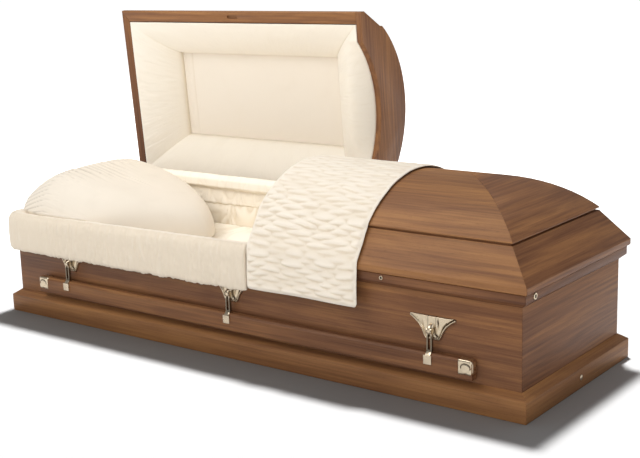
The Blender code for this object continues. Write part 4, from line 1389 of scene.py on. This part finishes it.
@dataclass
class Bed:
    """Mattress, ruched wall lining, back roll and pillow."""

    finishes: Finishes
    spacing: float = 0.0055
    open_spacing: float = 0.0076
    ruche: float = 0.0055
    over_rail: float = 0.010
    tuck: float = 0.016
    lap: float = 0.008
    roll_deep: float = 0.052
    mattress_deep: float = 0.060
    lining: float = 0.0018
    corner: float = 0.03

    def ruching(self, along: Array, up: Array) -> Array:
        """Ridges between sharp valleys that lean left and right by turns, so that they meet in fans.

        Args:
            along: metres round the box.
            up: metres up from the mattress.

        Returns:
            The ridges' height, -1 to 1.
        """
        lean = 0.9 * up * np.sin(along / 0.075 * np.pi + 0.9)
        return crest(drift((along + lean) / 0.020, up / 0.060, 61))

    def mattress(self) -> bpy.types.Object:
        """The mattress: a thick top, lower within 30 mm of its edge, pulled into long soft creases.

        Returns:
            The piece.
        """
        low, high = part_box("mattress")
        columns = int((high.x - low.x) / self.open_spacing)
        rows = int((high.y - low.y) / self.open_spacing)
        a = np.linspace(-1, 1, columns)[None, :]
        b = np.linspace(-1, 1, rows)[:, None]
        x = (low.x + high.x) / 2 + a * (high.x - low.x) / 2
        y = (low.y + high.y) / 2 + b * (high.y - low.y) / 2
        edge = np.minimum(1 - np.abs(a), (1 - np.abs(b)) * 0.29) * (high.x - low.x) / 2
        crease = crest(drift(x / 0.028 + 1.2 * drift(x / 0.12, y / 0.08, 51), y / 0.11, 53))
        broad = rumple(x / 0.16, y / 0.13, 57)
        z = high.z - 0.008 * (1 - smooth_step(edge, 0, 0.03)) - 0.003 + 0.0030 * crease + 0.003 * broad
        top = grid(x, y, z)
        uv = grid(x, y)
        # Painted shade in the creases.
        fold = np.clip(0.62 + 0.38 * crease + 0 * z, 0, 1)
        piece = surface("mattress_top", top, uv, fold)
        thicken(piece, self.mattress_deep)
        dress(piece, self.finishes.inner, "shell", "cream_cloth", "mattress")
        return piece

    def walls(self) -> bpy.types.Object:
        """The wall lining: one ruched band round the inside, its folds fanned in pairs.

        It stands in from the walls by a belly, sin(pi t) of its height t, and by the folds on that.

        Returns:
            The piece.
        """
        low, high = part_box("wall_lining")
        x0, x1, y0, y1 = low.x, high.x, low.y, high.y
        turns = np.linspace(0, np.pi / 2, 8)
        quarter = (1 - grid(np.sin(turns), np.cos(turns))) * self.corner
        path = np.vstack([
            np.array([x0, y0]) + quarter[::-1] * [1, 1], np.array([x1, y0]) + quarter * [-1, 1],
            np.array([x1, y1]) + quarter[::-1] * [-1, -1], np.array([x0, y1]) + quarter * [1, -1],
        ])
        count = int(2 * (x1 - x0 + y1 - y0) / self.spacing)
        path = even_path(path, count, closed=True)
        inward = -outward_normals(path)
        p = np.arange(count)[None, :] * self.spacing
        t = np.linspace(0, 1, 22)[:, None]
        wave = self.ruching(p, t * (high.z - low.z))
        belly = 0.004 * np.sin(np.pi * t)
        depth = 0.0035 + belly + self.ruche * (0.5 + 0.5 * wave) * (0.35 + 0.65 * np.sin(np.pi * t) ** 0.5)
        x = path[None, :, 0] + inward[None, :, 0] * depth
        y = path[None, :, 1] + inward[None, :, 1] * depth
        z = low.z - self.tuck + t * (high.z + self.lap - low.z + self.tuck) + 0 * p
        points = grid(x, y, z)
        uv = grid(p, z)
        # Painted shade in the ruching's valleys.
        fold = np.clip(0.5 + 0.5 * wave, 0, 1)
        piece = surface("wall_lining_ruched", points, uv, fold, wrap_columns=True, flip=True)
        thicken(piece, self.lining)
        dress(piece, self.finishes.inner, "shell", "cream_cloth", "wall_lining")
        return piece

    def roll(self) -> bpy.types.Object:
        """The padded roll along the hinge side, over a strip that is ruched like the lining under it.

        Its section, a closed path, is carried along X and moved along its normal by the gathers.

        Returns:
            The piece.
        """
        low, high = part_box("back_roll")
        top = high.z + self.over_rail
        under = top - self.roll_deep
        back = high.y + 0.006
        flat = high.y - 0.009
        section = np.array([
            (high.y, low.z + 0.004), (high.y, low.z + 0.040), (back, high.z - 0.012), (back - 0.008, top),
            (low.y + 0.014, top), (low.y + 0.001, top - 0.014), (low.y, under + 0.010), (flat, under - 0.002),
            (flat, under - 0.014), (flat, low.z + 0.002), (high.y - 0.006, low.z),
        ])
        loop = even_path(section, 72, closed=True, soften=0.010)
        normal = outward_normals(loop)
        count = int((high.x - low.x) / 0.004)
        x = np.linspace(low.x, high.x, count)[:, None]
        w = loop_lengths(loop)[None, :]
        gathers = crest(drift(x / 0.014, w / 0.06, 71))
        ruched = self.ruching(x, loop[None, :, 1] - low.z + 0.068)
        lower = 1 - smooth_step(loop[None, :, 1], under - 0.012, under + 0.002)
        wave = gathers * (1 - lower) + ruched * lower
        end = np.minimum(x - low.x, high.x - x)
        height = 0.0009 * gathers * (1 - lower) + self.ruche * 0.5 * (1 + ruched) * lower
        height = height + 0.0015 * rumple(x / 0.09, w / 0.08, 73) - 0.012 * (1 - smooth_step(end, 0, 0.015))
        y = loop[None, :, 0] + normal[None, :, 0] * height
        z = loop[None, :, 1] + normal[None, :, 1] * height
        points = grid(x, y, z)
        uv = grid(x, w)
        # Painted shade in the gathers and ruching.
        fold = np.clip(0.72 + 0.28 * wave, 0, 1)
        piece = surface("back_roll_padded", points, uv, fold, wrap_columns=True, caps=True, flip=True)
        dress(piece, self.finishes.inner, "shell", "cream_cloth", "back_roll")
        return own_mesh(piece)

    def build(self) -> None:
        """Mattress, wall lining, back roll and pillow."""
        self.mattress()
        self.walls()
        self.roll()
        Pillow(self.finishes).build()


@dataclass
class Pillow:
    """The wide pillow: full and gathered at the head end, falling to a thin rounded edge."""

    finishes: Finishes
    around: int = 560
    rings: int = 58
    square_head: float = 6.0
    square_foot: float = 1.48
    over_head: float = 0.062
    over_front: float = 0.034
    over_foot: float = 0.035
    gather: float = 0.0042
    shirring: float = 0.027
    middle: float = -0.730
    fold_at: float = -0.55
    seam_low: float = 0.018
    seam_rise: float = 0.090
    foot_fall: float = 0.52
    swell: float = 0.0045

    def build(self) -> bpy.types.Object:
        """The pillow, in rings from its middle to its seam and back underneath.

        The plan is a superellipse, squarer at the head and a tongue at the foot. The top's height rises
        from the head end, falls evenly to the foot and rounds off across as (1 - |a|^(8 - 6 s))^0.5 at a
        share s of the length. It turns down to the seam as (1 - r^n)^0.5 at a share r of the way out, n being
        8 at the foot and 4.5 at the head. The shirring is |sin|^0.9 across the pillow and down its sides,
        strongest at the head.

        Returns:
            The piece.
        """
        low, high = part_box("pillow")
        low.x -= self.over_head
        low.y -= self.over_front
        high.x += self.over_foot
        middle = np.array([self.middle, (low.y + high.y) / 2])
        turns = np.linspace(0, 2 * np.pi, self.around, endpoint=False)[None, :]
        c, s = np.cos(turns), np.sin(turns)
        ahead, behind = high.x - middle[0], middle[0] - low.x
        half = (high.y - low.y) / 2
        n = np.where(c > 0, self.square_foot, self.square_head)
        reach = np.where(c > 0, ahead, behind)
        far = (np.abs(c / reach) ** n + np.abs(s / half) ** n) ** (-1 / n)
        r = np.sin(np.linspace(0, np.pi / 2, self.rings))[:, None]
        x = middle[0] + far * r * c
        y = middle[1] + far * r * s
        share = (x - low.x) / (high.x - low.x)
        across = np.clip(np.abs((y - middle[1]) / half), 0, 1)
        rise = high.z - low.z
        head = 0.76 + 0.24 * np.sin(np.clip(share / 0.30, 0, 1) * np.pi / 2)
        fall = 1 - self.foot_fall * np.clip((share - 0.24) / 0.76, 0, 1)
        at_head = smooth_step(-c, 0.10, 0.75)
        side = np.sqrt(1 - across ** (8 - 6 * share))
        height = rise * head * fall * (0.25 + 0.75 * side)
        seam = self.seam_low + self.seam_rise * smooth_step(-c, -0.80, -0.10)
        dome = np.clip(1 - r ** (8 - 3.5 * at_head), 0, 1) ** 0.5
        top = low.z + seam + (np.maximum(height, seam) - seam) * dome
        ridge = low.z + rise * head * fall
        girth = y - middle[1] + np.tanh((y - middle[1]) / 0.06) * np.clip(ridge - top, 0, None)
        phase = girth / self.shirring + 0.65 * drift(x / 0.11, y / 0.055, 81)
        wave = 2 * np.abs(np.sin(np.pi * phase)) ** 0.9 - 1
        held = 1 - smooth_step(share + 0.14 * drift(y / 0.05, x / 0.2, 85), 0.12, 0.62)
        gathers = self.gather * wave * held * (1 - smooth_step(r, 0.95, 1.0))
        soft = self.swell * rumple(x / 0.16, y / 0.12, 87) * (1 - r**6)
        top = top + gathers + soft
        bottom_r = r[::-1][1:]
        bx = middle[0] + far * bottom_r * c * 0.985
        by = middle[1] + far * bottom_r * s * 0.985
        bz = low.z + 0.002 + seam[-1:] * (bottom_r**5) * 0.85 + 0 * bx
        points = np.concatenate([grid(x, y, top), grid(bx, by, bz)])
        uv = np.concatenate([grid(x, y), grid(bx, by)])
        # Painted shade: darker in the shirring, and the underside darker throughout.
        fold_top = 1 - (0.52 - 0.40 * wave) * held
        fold = np.concatenate([fold_top, np.full(bx.shape, 0.6)])
        piece = surface("pillow_stuffed", points, uv, fold, wrap_columns=True)
        mend(piece.data, outward=True)
        dress(piece, self.finishes.satin, "shell", "cream_cloth", "pillow")
        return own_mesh(piece)


# Stage
@dataclass
class Studio:
    """Pale floor, soft light and the camera at the photograph's angle."""

    place: tuple[float, float, float] = (2.504, -3.135, 1.254)
    yaw: float = math.radians(37.23)
    pitch: float = math.radians(12.63)
    roll: float = math.radians(-1.68)
    lens: float = 68.77
    floor_half: float = 90.0
    floor_greys: tuple[float, float] = (0.43, 0.45)
    glow: float = 0.90
    glow_between: tuple[float, float] = (1.0, 3.6)
    lamps: tuple[tuple, ...] = (
        ("overhead", (-0.3, 0.2, 3.3), (-0.2, 0.0, 0.3), (3.6, 2.0), 48.0),
        ("front_key", (-1.0, -2.2, 3.3), (-0.2, 0.0, 0.35), (2.4, 1.6), 46.0),
        ("axis_fill", (2.6, -3.9, 2.1), (0.0, 0.1, 0.40), (2.4, 1.6), 44.0),
    )
    floor_lamp: tuple = ("floor_light", (-1.3, 2.8, 8.5), (0.0, 0.0, 0.0), (1.0, 1.0), 1900.0)
    inner_lamp: tuple = ("inside_fill", (-0.5, -1.6, 2.2), (-0.5, 0.2, 0.4), (1.2, 0.8), 19.0)
    lined: tuple[str, ...] = ("back_roll_padded", "wall_lining_ruched", "mattress_top")
    surround: float = 0.28

    def camera(self) -> None:
        """Look along (-sin yaw cos pitch, cos yaw cos pitch, -sin pitch), rolled about that line."""
        flat = math.cos(self.pitch)
        ahead = Vector((-math.sin(self.yaw) * flat, math.cos(self.yaw) * flat, -math.sin(self.pitch)))
        right = ahead.cross(Vector((0, 0, 1))).normalized()
        up = right.cross(ahead)
        c, s = math.cos(self.roll), math.sin(self.roll)
        turned = Matrix((c * right + s * up, -s * right + c * up, -ahead)).transposed()
        data = bpy.data.cameras.new("camera")
        data.sensor_width = 36.0
        data.lens = self.lens
        data.clip_start = 0.05
        data.clip_end = 200.0
        camera = bpy.data.objects.new("camera", data)
        camera.matrix_world = Matrix.Translation(self.place) @ turned.to_4x4()
        bpy.context.scene.collection.objects.link(camera)
        bpy.context.scene.camera = camera

    def floor(self) -> bpy.types.Object:
        """A plain pale floor that glows away from the coffin, as a lit studio sweep does.

        Returns:
            The floor.
        """
        h = self.floor_half
        points = np.array([[[-h, -h, -0.0005], [h, -h, -0.0005]], [[-h, h, -0.0005], [h, h, -0.0005]]])
        piece = surface("floor", points)
        graph = Graph("pale_floor")
        at = graph.add("ShaderNodeTexCoord").outputs["Object"]
        cloud = graph.noise(at, (0.7, 0.7, 0.7), 2.0, 0.5)
        colour = graph.mix(cloud, *((grey, grey, grey, 1.0) for grey in self.floor_greys))
        reach = graph.add("ShaderNodeVectorMath", {"operation": "LENGTH"}, {0: at}).outputs["Value"]
        away = Num(graph, reach).between(*self.glow_between)
        glow = graph.mix(away, (0.0, 0.0, 0.0, 1.0), (self.glow, self.glow, self.glow, 1.0))
        sockets = {"Base Color": colour, "Roughness": 0.9, "Emission Color": glow, "Emission Strength": 1.0}
        piece.data.materials.append(graph.finish(sockets))
        piece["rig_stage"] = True
        return piece

    def backdrop(self) -> None:
        """A white ring at the floor's edge that only the camera sees, so that it lights nothing."""
        turns = np.linspace(0, 2 * np.pi, 96, endpoint=False)[None, :]
        height = np.array([[-1.0], [20.0], [60.0]]) + 0 * turns
        far = 0.98 * self.floor_half
        points = grid(far * np.cos(turns), far * np.sin(turns), height)
        piece = surface("backdrop", points, wrap_columns=True)
        graph = Graph("white_backdrop")
        sockets = {"Base Color": WHITE, "Roughness": 1.0, "Emission Color": WHITE, "Emission Strength": 1.0}
        piece.data.materials.append(graph.finish(sockets))
        piece.visible_diffuse = False
        piece.visible_glossy = False
        piece.visible_shadow = False
        piece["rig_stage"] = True

    def light(
        self, name: str, place: tuple, aim: tuple, size: tuple[float, float], power: float, reach: Reach,
        *pieces: bpy.types.Object,
    ) -> None:
        """An area light.

        Args:
            name: its name.
            place: where it hangs.
            aim: the point it faces.
            size: its width and height.
            power: in watts.
            reach: whether it falls on the pieces only, or on all but them.
            pieces: those pieces.
        """
        data = bpy.data.lights.new(name, "AREA")
        data.shape = "RECTANGLE"
        data.size, data.size_y = size
        data.energy = power
        lamp = bpy.data.objects.new(name, data)
        lamp.location = place
        lamp.rotation_euler = (Vector(aim) - Vector(place)).to_track_quat("-Z", "Y").to_euler()
        bpy.context.scene.collection.objects.link(lamp)
        group = bpy.data.collections.new(f"{name}_reach")
        for piece in pieces:
            group.objects.link(piece)
        for member in group.collection_objects:
            member.light_linking.link_state = reach.value
        lamp.light_linking.receiver_collection = group

    def world(self) -> None:
        """An even white surround."""
        world = bpy.data.worlds.new("surround")
        bpy.context.scene.world = world
        world.use_nodes = True
        back = world.node_tree.nodes["Background"]
        back.inputs["Color"].default_value = WHITE
        back.inputs["Strength"].default_value = self.surround

    def build(self) -> None:
        """Camera, floor, backdrop, lights and surround."""
        self.camera()
        floor = self.floor()
        self.backdrop()
        self.world()
        self.light(*self.floor_lamp, Reach.ONLY, floor)
        for lamp in self.lamps:
            self.light(*lamp, Reach.ALL_BUT, floor)
        bpy.context.scene.view_settings.view_transform = "Standard"

    def fill_inside(self) -> None:
        """A light over the open half that falls on the inner linings alone."""
        self.light(*self.inner_lamp, Reach.ONLY, *(bpy.data.objects[name] for name in self.lined))


def main() -> None:
    """Build the stage and every part of the coffin in order."""
    logging.basicConfig(level=logging.INFO, format="%(name)s: %(message)s")
    studio = Studio()
    studio.build()
    finishes = Finishes()
    steps = [
        Joinery(finishes), Fittings(finishes), Lining(finishes, Side.HEAD),
        Lining(finishes, Side.FOOT, spacing=0.0058), Throw(finishes), Extendover(finishes), Bed(finishes),
    ]
    for step in steps:
        step.build()
        LOG.info("%s built", type(step).__name__)
    studio.fill_inside()
    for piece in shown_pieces():
        if "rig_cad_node" not in piece and piece.type == "MESH":
            LOG.info("%s: %d faces", piece.name, len(piece.data.polygons))


if __name__ == "__main__":
    main()
